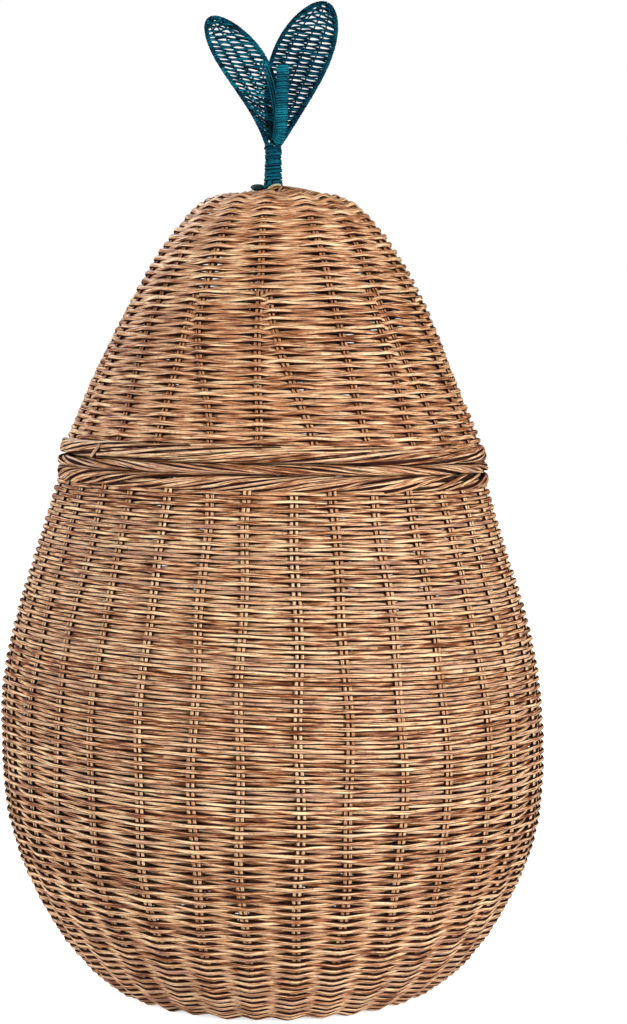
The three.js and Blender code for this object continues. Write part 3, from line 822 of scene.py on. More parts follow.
class BASKET_OT_lid_stakes(bpy.types.Operator):
    """Sets the pairs of rods that spread from the crown, and those that start beside them"""

    bl_idname = "basket.lid_stakes"
    bl_label = "Lid stakes"

    def execute(self, context):
        canes = context.scene.basket_weave
        rng = np.random.default_rng(canes.seed + 1)
        profile, foot, crown = lid_rings(rng)
        opening = 0.008
        below = np.linspace(0, canes.lid_split, 40)[None]
        above = np.linspace(canes.lid_split, profile.length - opening, 44)[None]
        strands = Strands()
        for side in (-1, 1):
            for ring, length in ((foot, below), (crown, above)):
                add_rods(strands, profile, ring, np.arange(ring.count), length, side * canes.lid_rod, rng)
        crown_fan(strands, profile, rng)
        strands.build("lid_stake_rods", lid_stake_material(), "lid", "rattan_stake", "lid_stakes")
        return {"FINISHED"}


# Borders


def rope(strands, node, inner, pairs, span, rise, rod, slope, lean, rng):
    """Pairs of rods laid round a ring, each of which winds once round the ring's flattened oval section.

    With v from 0 to 1 along a rod, its azimuth grows by its span over the radius. Its angle in the
    section goes from -170 to 170 degrees, or back where it falls to the right, fast at first and then
    slower. It starts a little deeper than it ends, so that each comes out from under the one before.
    """

    def of_pairs(low, high):
        """A random number for each pair, the same for both of its rods."""
        return rng.uniform(low, high, (pairs, 1)).repeat(2, 0)

    outer = reach_of(node)
    middle = (outer + inner) / 2
    height = (top_of(node) + foot_of(node)) / 2
    half_depth = (outer - inner - rod) / 2
    half_height = (top_of(node) - foot_of(node) - rod) / 2
    v = np.linspace(0, 1, 36)[None]
    rods = pairs * 2
    number = np.arange(rods)[:, None]
    place = (number // 2 + of_pairs(-0.16, 0.16)) / pairs
    second = (number % 2) * rod * 1.02
    spans = span * of_pairs(0.84, 1.22) * rng.uniform(0.97, 1.03, (rods, 1))
    azimuth = place * 2 * np.pi + v * spans / middle
    eased = v ** of_pairs(0.6, 0.85)
    swing = 170 + rng.normal(0, 6, (pairs, 1)).repeat(2, 0)
    mean_half = (half_depth + half_height) / 2
    turn = np.radians(-swing + 2 * swing * eased) - second / mean_half
    turn = rise * (turn + knots_rows(rng, 0.16, rods, v * 4))
    deepest = 0.68
    layer = deepest + (1 - deepest) * smooth(v / 0.35) + knots_rows(rng, 0.13, rods, v * 4)
    across = np.sign(np.cos(turn)) * np.abs(np.cos(turn)) ** 0.8 * layer
    up = np.sign(np.sin(turn)) * np.abs(np.sin(turn)) ** 0.9 * layer
    outward = level_outward(azimuth)
    radius = middle + half_depth * across - (up + 1) * half_height * np.tan(lean)
    centre = outward * radius[..., None]
    centre[..., 2] = height + half_height * up - slope * centre[..., 0]
    normal = outward * np.cos(turn)[..., None]
    normal[..., 2] = np.sin(turn)
    thickness = rod / 2 * rng.uniform(0.88, 1.08, (rods, 1))
    strands.add(centre, normal, thickness, rng.uniform(0, 1, (rods, 1)))


def core(strands, node, inner, slope):
    """A round hoop that fills the middle of a border, under its rods."""
    cover = 2.4 * MM
    outer = reach_of(node)
    height = (top_of(node) + foot_of(node)) / 2
    outward = level_outward(np.linspace(0, 2 * np.pi, 129))
    centre = outward * (outer + inner) / 2
    centre[:, 2] = height - slope * centre[:, 0]
    half = min(outer - inner, top_of(node) - foot_of(node)) / 2
    strands.add(centre, outward, half - cover, 0.1)


def upright_end(strands, node, slope):
    """The end of one stake, which stands up over the bundle at the left."""
    steps = 8
    outward = level_outward(np.radians(np.linspace(-53.5, -50.5, steps)))
    depth = np.linspace(0.4, 2.2, steps) * MM
    rise = np.linspace(0.5, 8.5, steps) * MM
    centre = outward * (reach_of(node) - depth)[:, None]
    centre[:, 2] = foot_of(node) + rise - slope * centre[:, 0]
    strands.add(centre, outward, 1.6 * MM, 0.3)


class BASKET_OT_borders(bpy.types.Operator):
    """Lays the rods of the base's border and of the lid's two borders"""

    bl_idname = "basket.borders"
    bl_label = "Borders"

    def execute(self, context):
        canes = context.scene.basket_weave
        rng = np.random.default_rng(canes.seed + 2)
        rattan = rattan_material()
        slope = canes.rim_slope
        border_depth, collar_gap = 9.4 * MM, 0.3 * MM
        mouth_inner = reach_of("base_border") - border_depth
        lid_inner = reach_of("lid_collar") + collar_gap
        bundle_lean = context.scene.basket_shape.lid_foot_lean * 0.7
        for name, node, body, inner, pairs, span, rise, rod, lean in (
            ("base_border_rods", "base_border", "base", mouth_inner, 33, 140, 1, 2.7, 0),
            ("lid_roll_rods", "lid_border_lower", "lid", lid_inner, 25, 128, -1, 2.75, 0),
            ("lid_bundle_rods", "lid_border_upper", "lid", lid_inner, 25, 250, 1, 2.8, bundle_lean),
        ):
            strands = Strands()
            rope(strands, node, inner, pairs, span * MM, rise, rod * MM, slope, lean, rng)
            core(strands, node, inner, slope)
            if node == "lid_border_upper":
                upright_end(strands, node, slope)
            strands.build(name, rattan, body, "rattan", node)
        return {"FINISHED"}


class BASKET_OT_collar(bpy.types.Operator):
    """Weaves the collar inside the lid that drops into the mouth"""

    bl_idname = "basket.collar"
    bl_label = "Collar"

    def execute(self, context):
        canes = context.scene.basket_weave
        rng = np.random.default_rng(canes.seed + 3)
        bottom, top = foot_of("lid_collar"), top_of("lid_collar")
        outer = reach_of("lid_collar")
        cane = 1.5 * MM
        reach = 0.95 * MM
        outline = np.linspace((outer, bottom), (outer, top), 40)
        profile = Profile(outline, reach + cane / 2)
        even = even_ring(canes.lid_pairs)
        stakes = Stakes(even, even, 0, profile.length, 1, 0, rng)
        pitch = 1.56 * MM
        rows = int((profile.length - cane) / pitch)
        slope = canes.rim_slope
        sizes = (cane, reach, 1, 8)
        strands = Strands(6)
        strands.add(*weave(profile, stakes, cane / 2, rows, pitch, lambda length: slope, sizes, rng))
        length = np.linspace(0, profile.length, 8)
        azimuth = stakes.azimuth(np.arange(canes.lid_pairs)[:, None], length)
        beside, rod = 0.8 * MM, 0.9 * MM
        for side in (-1, 1):
            place, out = profile.point(length, azimuth, aside=side * beside)
            strands.add(place, out, rod / 2, rng.uniform(0, 1, (canes.lid_pairs, 1)))
        strands.build("lid_collar_weave", rattan_material(), "lid", "rattan_stake", "lid_collar")
        return {"FINISHED"}


# Stem and leaves


def winding(strands, path, around, turns, cane, flat, wobble, rng, normal_hint):
    """A cane wound round a path, with the number of turns given, at the distance that around says.

    With w from 0 to 1 along the path, the cane's middle is at the path's point plus the distance times
    (cos a times the normal plus sin a times the side), where a is w times the turns times a circle.
    The cane is joined, and so changes its number, every few turns.
    """
    steps = int(turns * 18)
    joined_turns = 3.7
    number_step = 0.377
    around = np.atleast_1d(around)
    lengths = np.concatenate(([0], np.cumsum(np.linalg.norm(np.diff(path, axis=0), axis=1))))
    w = np.linspace(0, 1, steps)
    point = np.stack([np.interp(w * lengths[-1], lengths, path[:, axis]) for axis in range(3)], 1)
    way = unit(np.gradient(point, axis=0))
    side = unit(np.cross(way, normal_hint))
    normal = np.cross(side, way)
    angle = 2 * np.pi * turns * w
    radial = np.cos(angle)[:, None] * normal + np.sin(angle)[:, None] * side
    place = angle / (2 * np.pi)
    distance = np.interp(w, np.linspace(0, 1, len(around)), around)
    distance = distance * (1 + knots(rng, wobble, place * 2))
    centre = point + radial * distance[:, None] + way * knots(rng, 0.1 * cane, place * 2)[:, None]
    radius = cane / 2 * (1 + knots(rng, 0.06, place * 1.5))
    strands.add(centre, radial, radius, np.floor(place / joined_turns) * number_step % 1, flat)


def upright_path(bottom, top, steps=24):
    """A straight path up the axis."""
    return np.linspace((0, 0, bottom), (0, 0, top), steps)


class BASKET_OT_stem(bpy.types.Operator):
    """Winds the cane round the stem and beads its foot"""

    bl_idname = "basket.stem"
    bl_label = "Stem"

    def execute(self, context):
        settings = context.scene.basket_stem
        rng = np.random.default_rng(context.scene.basket_weave.seed + 4)
        teal = teal_material()
        bottom, top = foot_of("stem_binding"), top_of("stem_binding")
        core_radius = reach_of("stem_core")

        strands = Strands(12)
        bark, cut = 0.6 * MM, 0.2 * MM
        path = upright_path(foot_of("stem_core"), top_of("stem_core") - cut)
        strands.add(path, FRONT, core_radius + bark, 0.4)
        strands.build("stem_rods", teal, "lid", "teal_dark", "stem_core")

        strands = Strands(8)
        start_rise, end_rise = 0.6 * MM, 1.4 * MM
        path = upright_path(bottom + start_rise, top + end_rise)
        around = core_radius + np.array((1.35, 1.3, 1.1, 0.85, 0.8, 1.0, 1.2)) * MM
        cane = settings.stem_cane
        over_turns, over_gap, over_cane = 3.3, 0.35 * MM, cane * 0.8
        winding(strands, path, around, settings.stem_turns, cane, 0.6, 0.05, rng, FRONT)
        winding(strands, path[3:-2], around + over_gap, over_turns, over_cane, 0.5, 0.05, rng, BACK)
        strands.build("stem_wrap", teal, "lid", "teal", "stem_binding")

        strands = Strands(8)
        self.beads(strands, core_radius, rng)
        self.tails(strands, core_radius)
        strands.build("stem_foot_beads", teal, "lid", "teal", "stem_foot_wrap")
        return {"FINISHED"}

    def beads(self, strands, core_radius, rng):
        """Adds short upright ends round the stem's foot, which lean a little inwards and to the right."""
        low, high = foot_of("stem_foot_wrap"), top_of("stem_foot_wrap")
        ends = 24
        lean = 0.12
        end_radius = 0.66 * MM
        azimuth = np.arange(ends)[:, None] * 2 * np.pi / ends + rng.normal(0, 0.05, (ends, 1))
        rise = np.linspace(0, 1, 6)[None]
        outward = level_outward(azimuth + lean * (rise - 0.5))
        centre = outward * (core_radius + (1.5 + 0.5 * (1 - rise)) * MM)[..., None]
        centre[..., 2] = low - 0.3 * MM + (high - low + 0.9 * MM) * rise
        radius = end_radius * rng.uniform(0.85, 1.1, (ends, 1))
        strands.add(centre, outward, radius, rng.uniform(0, 1, (ends, 1)))

    def tails(self, strands, core_radius):
        """Adds three canes' ends, which run out from the stem's foot over the crown and to the left."""
        low = foot_of("stem_foot_wrap")
        run = np.linspace(0, 1, 16)
        for start, reach, drop, turn in (
            (-0.1, 11.5, 3.4, 0.6),
            (-0.35, 11, 3.2, 0.45),
            (-0.6, 12, 3, 0.3),
        ):
            outward = level_outward(start - turn * run)
            centre = outward * (core_radius + 1.2 * MM + (reach * MM - core_radius) * run)[:, None]
            centre[:, 2] = low + (2 - (2 + drop) * run**1.3) * MM
            strands.add(centre, UP, 0.7 * MM, start + 1)


def stalk_path(steps=30):
    """The stalk's middle line: from the stem's top, bent forwards, then straight up beside the leaves."""
    low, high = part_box("stalk_core")
    top = np.array((high.x, low.y, high.z)) + np.array((-1, 1, 0)) * 2.1 * MM
    foot = np.array((1.9, -2.3, top_of("stem_core") / MM)) * MM
    knee = np.array((5.6 * MM, -6.1 * MM, foot[2] + 8 * MM))
    rise = np.array((0, 0, 2.7 * MM))
    lower = bezier(foot, rise, rise, knee, steps // 3)
    upper = np.linspace(knee, top, steps)
    return np.concatenate((lower[:-1], upper))


class BASKET_OT_stalk(bpy.types.Operator):
    """Winds the cane closely round the stalk in front of the right leaf"""

    bl_idname = "basket.stalk"
    bl_label = "Stalk"

    def execute(self, context):
        settings = context.scene.basket_stem
        rng = np.random.default_rng(context.scene.basket_weave.seed + 5)
        path = stalk_path()
        strands = Strands(10)
        foot = path[0, 2]
        radius = np.interp(path[:, 2], (foot, foot + 10 * MM), (2.0 * MM, 3.4 * MM))
        strands.add(path, BACK, radius, 0.6)
        strands.build("stalk_rod", teal_material(), "lid", "teal_dark", "stalk_core")
        strands = Strands(7)
        around = np.array((2.7, 3.1, 3.5, 3.8, 3.85, 3.85, 3.85, 3.8)) * MM
        turns, cane = settings.stalk_turns, settings.stalk_cane
        winding(strands, path[3:], around, turns, cane, 0.5, 0.01, rng, BACK)
        strands.build("stalk_wrap", stalk_teal_material(), "lid", "teal", "stalk_binding")
        return {"FINISHED"}


class Leaf:
    """A leaf's outline in its own plane, and its place and turn.

    At a share s of its length, the middle line is off by the bulge times sin(pi s to the power 0.75).
    The half width is 1.5 mm times (1 - s) plus the width times the root of sin(pi s to the power 1.5).
    The gap is how far its passes part, loose is how unevenly, and the slants are how steep they run near
    the foot, in the middle and near the tip, in degrees.
    """

    def __init__(self, side):
        leaves = bpy.context.scene.basket_leaves
        left = side == "left"
        self.side = side
        self.length = leaves.left_length if left else leaves.right_length
        self.width = leaves.left_width if left else leaves.right_width
        self.bulge = leaves.left_bulge if left else -leaves.right_bulge
        self.rows = leaves.left_rows if left else leaves.right_rows
        self.cane = leaves.left_cane if left else leaves.right_cane
        self.gap = (0.42 if left else 0.36) * MM
        self.loose = 0.6 if left else 1.0
        lean = -leaves.left_lean if left else leaves.right_lean
        pitch, yaw = (0, 0) if left else (np.radians(-3), np.radians(-10))
        foot = (-2.6, -0.4) if left else (2, 2.3)
        self.foot = np.array((foot[0] * MM, foot[1] * MM, top_of("stem_core") + 1 * MM))
        self.turn = turned(Y, lean) @ turned(X, pitch) @ turned(Z, yaw)
        self.front = self.turn @ FRONT
        self.slants = (45, 32, 27) if left else (-9, -9, -9)

    def middle(self, share):
        """How far to the right the middle line is at a share of the length."""
        return self.bulge * np.sin(np.pi * share**0.75)

    def half_width(self, share):
        """Half the width at a share of the length."""
        return 1.5 * MM * (1 - share) + self.width * np.sqrt(np.maximum(np.sin(np.pi * share**1.5), 0))

    def place(self, x, z, out):
        """World points from the leaf's own x and z, and a distance out towards its front."""
        local = np.stack(np.broadcast_arrays(x, -np.asarray(out), z), -1)
        return local @ self.turn.T + self.foot

    def edge(self, steps=240):
        """The edge, from the foot up the left side, round the tip and down, with even steps.

        With t from -1 to 1 the share is 1 - t squared, so that the tip comes out round.
        """
        t = np.linspace(-1, 1, 1200)
        share = 1 - t * t
        x = self.middle(share) + np.sign(t) * self.half_width(share)
        z = share * self.length
        run = np.concatenate(([0], np.cumsum(np.hypot(np.diff(x), np.diff(z)))))
        even = np.linspace(0, run[-1], steps)
        return np.interp(even, run, x), np.interp(even, run, z)


def turned(axis, angle):
    """The matrix that turns about an axis: X turns Y towards Z, and so on round."""
    near, far = (axis + 1) % 3, (axis + 2) % 3
    matrix = np.eye(3)
    matrix[near, near] = np.cos(angle)
    matrix[far, far] = np.cos(angle)
    matrix[far, near] = np.sin(angle)
    matrix[near, far] = -np.sin(angle)
    return matrix


def leaf_passes(leaf, rng):
    """The passes of cane across a leaf, over one rib and under the next.

    Pass k runs from the left edge to the right edge, slanted. With u from 0 to 4 across, it stands out
    by the depth times cos(pi (u + k)), and moves along the leaf by the shift times sin(pi (u + k)), which
    opens a gap above every second pass. It sags near the foot, and near the tip it bows up along the
    outline. The left leaf's canes are thinner near its foot.
    """
    leaves = bpy.context.scene.basket_leaves
    lowest, highest = 0.045, 0.975
    nearest, farthest = 0.01, 0.985
    gaps = 4
    each = (leaf.rows, 1)
    k = np.arange(leaf.rows)[:, None]
    share = lowest + (highest - lowest) * ((k + 0.5) / leaf.rows) ** 1.04
    slant = np.radians(np.interp(share, (0.1, 0.5, 0.9), leaf.slants))
    rise = np.tan(slant) * leaf.half_width(share) / leaf.length
    left = np.clip(share + rise, nearest, farthest)
    right = np.clip(share - rise, nearest, farthest)
    inset = leaves.edge_rod * 0.15
    u = np.linspace(0, gaps, 10 * gaps + 1)[None]
    across = u / gaps
    left_x = leaf.middle(left) - leaf.half_width(left) + inset
    right_x = leaf.middle(right) + leaf.half_width(right) - inset
    x = left_x + (right_x - left_x) * across
    z = (left + (right - left) * across) * leaf.length
    tip_start, foot_end = 0.72, 0.4
    most_bow, most_sag = 0.42, 0.2
    bow = smooth((share - tip_start) / 0.26) * leaf.half_width(share) * most_bow
    sag = -smooth((foot_end - share) / foot_end) * leaf.half_width(share) * most_sag
    z = z + (bow + sag) * (1 - (2 * across - 1) ** 2)
    foot_part, tip_part = 0.5, 0.6
    opened = smooth((share - 0.1) / 0.4)
    closed = smooth((share - 0.86) / 0.1)
    open_part = foot_part + (1 - foot_part) * opened - (1 - tip_part) * closed
    shift = leaf.gap / np.cos(slant) * open_part * (1 + knots_rows(rng, leaf.loose, leaf.rows, u))
    z = z + shift * np.sin(np.pi * (u + k)) + knots_rows(rng, 0.1 * MM, leaf.rows, u)
    depth = (leaves.rib + leaf.cane) / 2
    out = depth * np.cos(np.pi * (u + k)) * (1 + knots_rows(rng, 0.08, leaf.rows, u))
    centre = leaf.place(x, z, out)
    radius = leaf.cane / 2 * rng.uniform(0.88, 1.14, each) * (1.16 - 0.16 * open_part)
    if leaf.side == "left":
        radius = radius * (1 - 0.26 * smooth((0.42 - share) / 0.3))
    return centre, leaf.front, radius, rng.uniform(0, 1, each)


def inner_band(leaf):
    """Three strands in the lighter stalk paint that run up inside the left leaf's right edge, in front of
    the weaving; their lighter paint is painted light where the stalk and the right leaf shade that edge.

    Each keeps its distance inside the edge, and that distance grows from the foot on.
    """
    share = np.linspace(0.02, 0.56, 60)[None]
    insets = np.array((0.9, 2.6, 4.3))[:, None] * MM
    numbers = np.array((0.93, 0.31, 0.72))[:, None]
    foot_share = 0.35
    grown = foot_share + (1 - foot_share) * smooth(share / 0.35)
    x = leaf.middle(share) + leaf.half_width(share) - insets * grown
    ahead = 1.7 * MM * smooth((0.6 - share) / 0.12)
    strands = Strands(7)
    strands.add(leaf.place(x, share * leaf.length, ahead), leaf.front, 0.7 * MM, numbers)
    strands.build("leaf_left_band", stalk_teal_material(), "lid", "teal", "leaf_left_weave")


class BASKET_OT_leaves(bpy.types.Operator):
    """Bends the leaves' edge rods and ribs, winds their edges and weaves their blades"""

    bl_idname = "basket.leaves"
    bl_label = "Leaves"

    def execute(self, context):
        leaves = context.scene.basket_leaves
        winding_pitch, winding_cane, winding_gap = 1.45 * MM, 1.6 * MM, 0.2 * MM
        for number, side in enumerate(("left", "right")):
            rng = np.random.default_rng(context.scene.basket_weave.seed + 6 + number)
            leaf = Leaf(side)
            # The right leaf takes a darker copy of the teal, as painted shade.
            teal = leaf_teal_material() if side == "left" else right_leaf_shaded_teal_material()
            name = f"leaf_{side}"

            strands = Strands(7)
            x, z = leaf.edge()
            path = leaf.place(x, z, 0)
            strands.add(path, leaf.front, leaves.edge_rod / 2, 0.5)
            turns = np.linalg.norm(np.diff(path, axis=0), axis=1).sum() / winding_pitch
            around = leaves.edge_rod / 2 + winding_gap
            winding(strands, path, around, turns, winding_cane, 0.4, 0.05, rng, leaf.front)
            strands.build(f"{name}_edge", teal, "lid", "teal", f"{name}_frame")

            if side == "left":
                inner_band(leaf)
            strands = Strands(7)
            strands.add(*leaf_passes(leaf, rng))
            strands.build(f"{name}_passes", teal, "lid", "teal", f"{name}_weave")

            strands = Strands(7)
            share = np.linspace(0.03, 0.975, 50)[None]
            across = np.array((-0.5, 0, 0.5))[:, None]
            x = leaf.middle(share) + across * leaf.half_width(share)
            strands.add(leaf.place(x, share * leaf.length, 0), leaf.front, leaves.rib / 2, 0.3)
            ribs = [f"{name}_rib_{rib}" for rib in (1, 2, 3)]
            strands.build(f"{name}_ribs", teal, "lid", "teal_dark", *ribs)
        return {"FINISHED"}


class BASKET_OT_crown_ties(bpy.types.Operator):
    """Lays the flat green tie, and the pale strand with a short end below it, beside the stem's foot"""

    bl_idname = "basket.crown_ties"
    bl_label = "Crown ties"

    def execute(self, context):
        low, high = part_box("crown_tie_loop")
        middle = np.array((high.x + low.x, 0, 0)) / 2 + np.array((0.8, -7, 0)) * MM
        middle[2] = low.z - 0.4 * MM
        down = np.array((0, -0.92, -0.39))
        facing = np.array((0, -0.39, 0.92))
        half_length, half_width, rim_width, rim_rise = np.array((4.3, 5.4, 5.2, 0.4)) * MM
        half = np.array((half_length, 0, 0))
        along = np.linspace(-0.98, 0.98, 25)
        strands = Strands(10)
        strands.add(middle + along[:, None] * half, facing, half_width * np.sqrt(1 - along**2), 0.1, 0.26)
        # A thin strand along the tie's upper edge, as a painted highlight on its rim.
        angle = np.linspace(0, np.pi, 25)[:, None]
        rim = np.cos(angle) * half - np.sin(angle) * down * rim_width + facing * rim_rise
        strands.add(middle + rim, facing, 0.5 * MM, 0.9)
        strands.build("crown_flat_tie", moss_material(), "lid", "moss_green", "crown_tie_loop")

        low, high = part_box("crown_tie_strand")
        across = (low.x + 0.9 * MM, -1.3 * MM, 1.9 * MM, high.x - 1.2 * MM)
        forward = low.y - np.array((2.2, 1.2, 0.7, 0.4)) * MM
        height = low.z + np.array((-2.1, 0, 1.3, 0.9)) * MM
        place = curve_through(np.stack((across, forward, height), 1), 40)
        strands = Strands(8)
        strands.add(place, FRONT, 0.85 * MM, 0.5)
        short_start = middle + np.array((-4.9, -5.6, -2.2)) * MM
        short_run = np.array((2.8, 0, -0.7)) * MM
        strands.add(np.linspace(short_start, short_start + short_run, 12), FRONT, 0.6 * MM, 0.1)
        strands.build("crown_pale_strand", pale_material(), "lid", "pale_green", "crown_tie_strand")
        return {"FINISHED"}


# Materials


def group(name, inputs, outputs):
    """A new shader node group, whose inputs and outputs are numbers, and its two end nodes."""
    tree = bpy.data.node_groups.new(name, "ShaderNodeTree")
    for label, default in inputs:
        socket = tree.interface.new_socket(label, in_out="INPUT", socket_type="NodeSocketFloat")
        socket.default_value = default
    for label in outputs:
        tree.interface.new_socket(label, in_out="OUTPUT", socket_type="NodeSocketFloat")
    return tree, tree.nodes.new("NodeGroupInput"), tree.nodes.new("NodeGroupOutput")


def node(tree, kind, inputs=(), **settings):
    """A node with its settings, whose inputs are given as (name or number, value or socket)."""
    made = tree.nodes.new("ShaderNode" + kind)
    for key, value in settings.items():
        setattr(made, key, value)
    for key, value in inputs:
        if isinstance(value, bpy.types.NodeSocket):
            tree.links.new(value, made.inputs[key])
        else:
            made.inputs[key].default_value = value
    return made


def math(tree, kind, first, second, clamp=False):
    """The output of a Math node."""
    return node(tree, "Math", ((0, first), (1, second)), operation=kind, use_clamp=clamp).outputs[0]


def map_range(tree, value, from_min, from_max, to_min=0.0, to_max=1.0, kind="LINEAR"):
    """The output of a Map Range node."""
    inputs = (
        ("Value", value),
        ("From Min", from_min),
        ("From Max", from_max),
        ("To Min", to_min),
        ("To Max", to_max),
    )
    return node(tree, "MapRange", inputs, interpolation_type=kind).outputs["Result"]


def noise(tree, x, y, z, detail):
    """The output of a Noise Texture node at a place given by its three parts."""
    place = node(tree, "CombineXYZ", (("X", x), ("Y", y), ("Z", z))).outputs[0]
    return node(tree, "TexNoise", (("Vector", place), ("Scale", 1), ("Detail", detail))).outputs["Fac"]


def mixed(tree, factor, first, second):
    """The colour output of a Mix node."""
    return node(tree, "Mix", ((0, factor), (6, first), (7, second)), data_type="RGBA").outputs[2]


def cane_grain():
    """The group that gives a cane its tone, streaks, flecks and painted shade in its creases.

    It reads the strand number and the UV map, metres along and turns round. Tone is 0 for a dark cane and
    1 for a light one, and drifts along it. Streak is fine lines along it. Painted shade is 1 on the faces
    that touch the neighbours, which are about a quarter turn from the outermost line, and 1 less Inner on
    the innermost line: the shade that falls between the canes, painted into the colour. It is narrower low
    on the bowl and on the crown, where more of each cane's side lies open to the light.
    """
    if "Cane grain" in bpy.data.node_groups:
        return bpy.data.node_groups["Cane grain"]
    inputs = (("Spread", 0.6), ("Drift", 0.35), ("Edge", 0.7), ("Inner", 0.6))
    labels = ("Tone", "Streak", "Hue", "Painted shade", "Fleck")
    tree, given, result = group("Cane grain", inputs, labels)
    slow_scale, streak_scale, fleck_scale, streaks_across = 28, 75, 420, 3
    painted_shade_blur = 0.16

    def plus(value, other):
        return math(tree, "ADD", value, other)

    def times(value, factor):
        return math(tree, "MULTIPLY", value, factor)

    number = times(node(tree, "Attribute", attribute_name="strand").outputs["Fac"], 917.3)
    dice = node(tree, "TexWhiteNoise", (("W", number),), noise_dimensions="1D")
    place = node(tree, "UVMap", uv_map="cane").outputs["UV"]
    split = node(tree, "SeparateXYZ", (("Vector", place),))
    along, around = split.outputs["X"], split.outputs["Y"]
    angle = times(around, 2 * np.pi)
    outward = math(tree, "COSINE", angle, 0)
    upward = math(tree, "SINE", angle, 0)

    slow = noise(tree, times(along, slow_scale), number, 0, detail=2)
    sides = [plus(times(side, streaks_across), number) for side in (upward, outward)]
    streak = noise(tree, times(along, streak_scale), *sides, detail=4)
    fleck = noise(tree, times(along, fleck_scale), upward, number, detail=1)
    sparse = map_range(tree, fleck, 0.6, 0.74)
    apart = times(math(tree, "SUBTRACT", dice.outputs["Value"], 0.5), given.outputs["Spread"])
    drift = times(math(tree, "SUBTRACT", slow, 0.5), given.outputs["Drift"])
    tone = math(tree, "ADD", plus(apart, drift), 0.5, clamp=True)
    hue = node(tree, "SeparateColor", (("Color", dice.outputs["Color"]),)).outputs["Green"]

    point = node(tree, "TexCoord").outputs["Object"]
    height = node(tree, "SeparateXYZ", (("Vector", point),)).outputs["Z"]
    # Painted shade between the canes: where it starts round each cane, how it varies, and how it narrows
    # low on the bowl and on the crown.
    uneven = map_range(tree, slow, 0.35, 0.65, -0.13, 0.1)
    on_bowl = map_range(tree, height, 0.02, 0.12, -0.17, 0)
    on_crown = map_range(tree, height, 0.45, 0.51, 0, -0.22)
    edge = plus(plus(given.outputs["Edge"], uneven), plus(on_bowl, on_crown))
    full_painted_shade = math(tree, "SUBTRACT", edge, painted_shade_blur)
    painted_shade = map_range(tree, outward, edge, full_painted_shade, kind="SMOOTHSTEP")
    inner = map_range(tree, outward, -0.35, -0.8, 0, given.outputs["Inner"], kind="SMOOTHSTEP")
    painted_shade = times(painted_shade, math(tree, "SUBTRACT", 1, inner))
    for label, value in zip(labels, (tone, streak, hue, painted_shade, sparse)):
        tree.links.new(value, result.inputs[label])
    return tree


def bare_material(name):
    """A material with only a Principled BSDF and its output."""
    made = bpy.data.materials.new(name)
    made.use_nodes = True
    tree = made.node_tree
    tree.nodes.clear()
    shader = tree.nodes.new("ShaderNodeBsdfPrincipled")
    output = tree.nodes.new("ShaderNodeOutputMaterial")
    tree.links.new(shader.outputs[0], output.inputs["Surface"])
    return made, tree, shader


def cane_material(
    name, tones, faded, spread, drift, streaks, roughness=0.5, shine=0.18, edge=0.86, inner=0.6
):
    """Bare or painted cane: tones by strand, streaks along it, painted shade in the creases, flecks, a
    satin finish.

    The tones are the colour of the painted shade in the creases and then the canes' colours, from the
    darkest. Some canes fade towards the faded colour.
    """
    if name in bpy.data.materials:
        return bpy.data.materials[name]
    painted_shade, *steps = tones
    made, tree, shader = bare_material(name)
    shader.inputs["Specular IOR Level"].default_value = shine
    settings = (("Spread", spread), ("Drift", drift), ("Edge", edge), ("Inner", inner))
    grain = node(tree, "Group", settings, node_tree=cane_grain()).outputs
    streak = math(tree, "SUBTRACT", grain["Streak"], 0.5)
    tone = math(tree, "ADD", grain["Tone"], math(tree, "MULTIPLY", streak, streaks), clamp=True)
    ramp = node(tree, "ValToRGB", (("Fac", tone),))
    stops = ramp.color_ramp.elements
    stops[0].color = (*steps[0], 1)
    stops[1].color = (*steps[-1], 1)
    for number, step in enumerate(steps[1:-1], 1):
        stops.new(number / (len(steps) - 1)).color = (*step, 1)
    most_faded, fleck_share, crease_roughness = 0.45, 0.5, 0.9
    fading = map_range(tree, grain["Hue"], 0.65, 1, 0, most_faded)
    cane = mixed(tree, fading, ramp.outputs["Color"], (*faded, 1))
    fleck = math(tree, "MULTIPLY", grain["Fleck"], fleck_share)
    # Darkens towards the painted shade colour in the creases, as painted shade, and at the flecks, which
    # are the cane's own dark specks.
    dark = math(tree, "MAXIMUM", grain["Painted shade"], fleck)
    tree.links.new(mixed(tree, dark, cane, (*painted_shade, 1)), shader.inputs["Base Color"])
    satin = map_range(tree, grain["Streak"], 0.3, 0.7, roughness + 0.12, roughness - 0.08)
    matt = math(tree, "MULTIPLY", grain["Painted shade"], crease_roughness)
    tree.links.new(math(tree, "MAXIMUM", satin, matt), shader.inputs["Roughness"])
    bump = node(tree, "Bump", (("Height", grain["Streak"]), ("Strength", 0.6), ("Distance", 0.2 * MM)))
    tree.links.new(bump.outputs["Normal"], shader.inputs["Normal"])
    return made


def natural():
    """The tones of natural cane, after the colour of the painted shade in the creases, from the darkest.
    """
    c = bpy.context.scene.basket_colours
    return c.painted_crease_shade, c.russet, c.brown, c.tan, c.straw, c.cream


def rattan_material():
    """The weavers' natural cane."""
    c = bpy.context.scene.basket_colours
    return cane_material(
        "rattan_cane", natural(), c.weathered,
        spread=0.55, drift=1.0, streaks=4.4, roughness=0.42, shine=0.2, edge=0.85,
    )


def lid_material():
    """The lid's natural cane, which is more even than the base's."""
    c = bpy.context.scene.basket_colours
    return cane_material(
        "rattan_lid_cane", natural(), c.tan,
        spread=0.45, drift=0.8, streaks=4.0, roughness=0.42, shine=0.2, edge=0.815,
    )


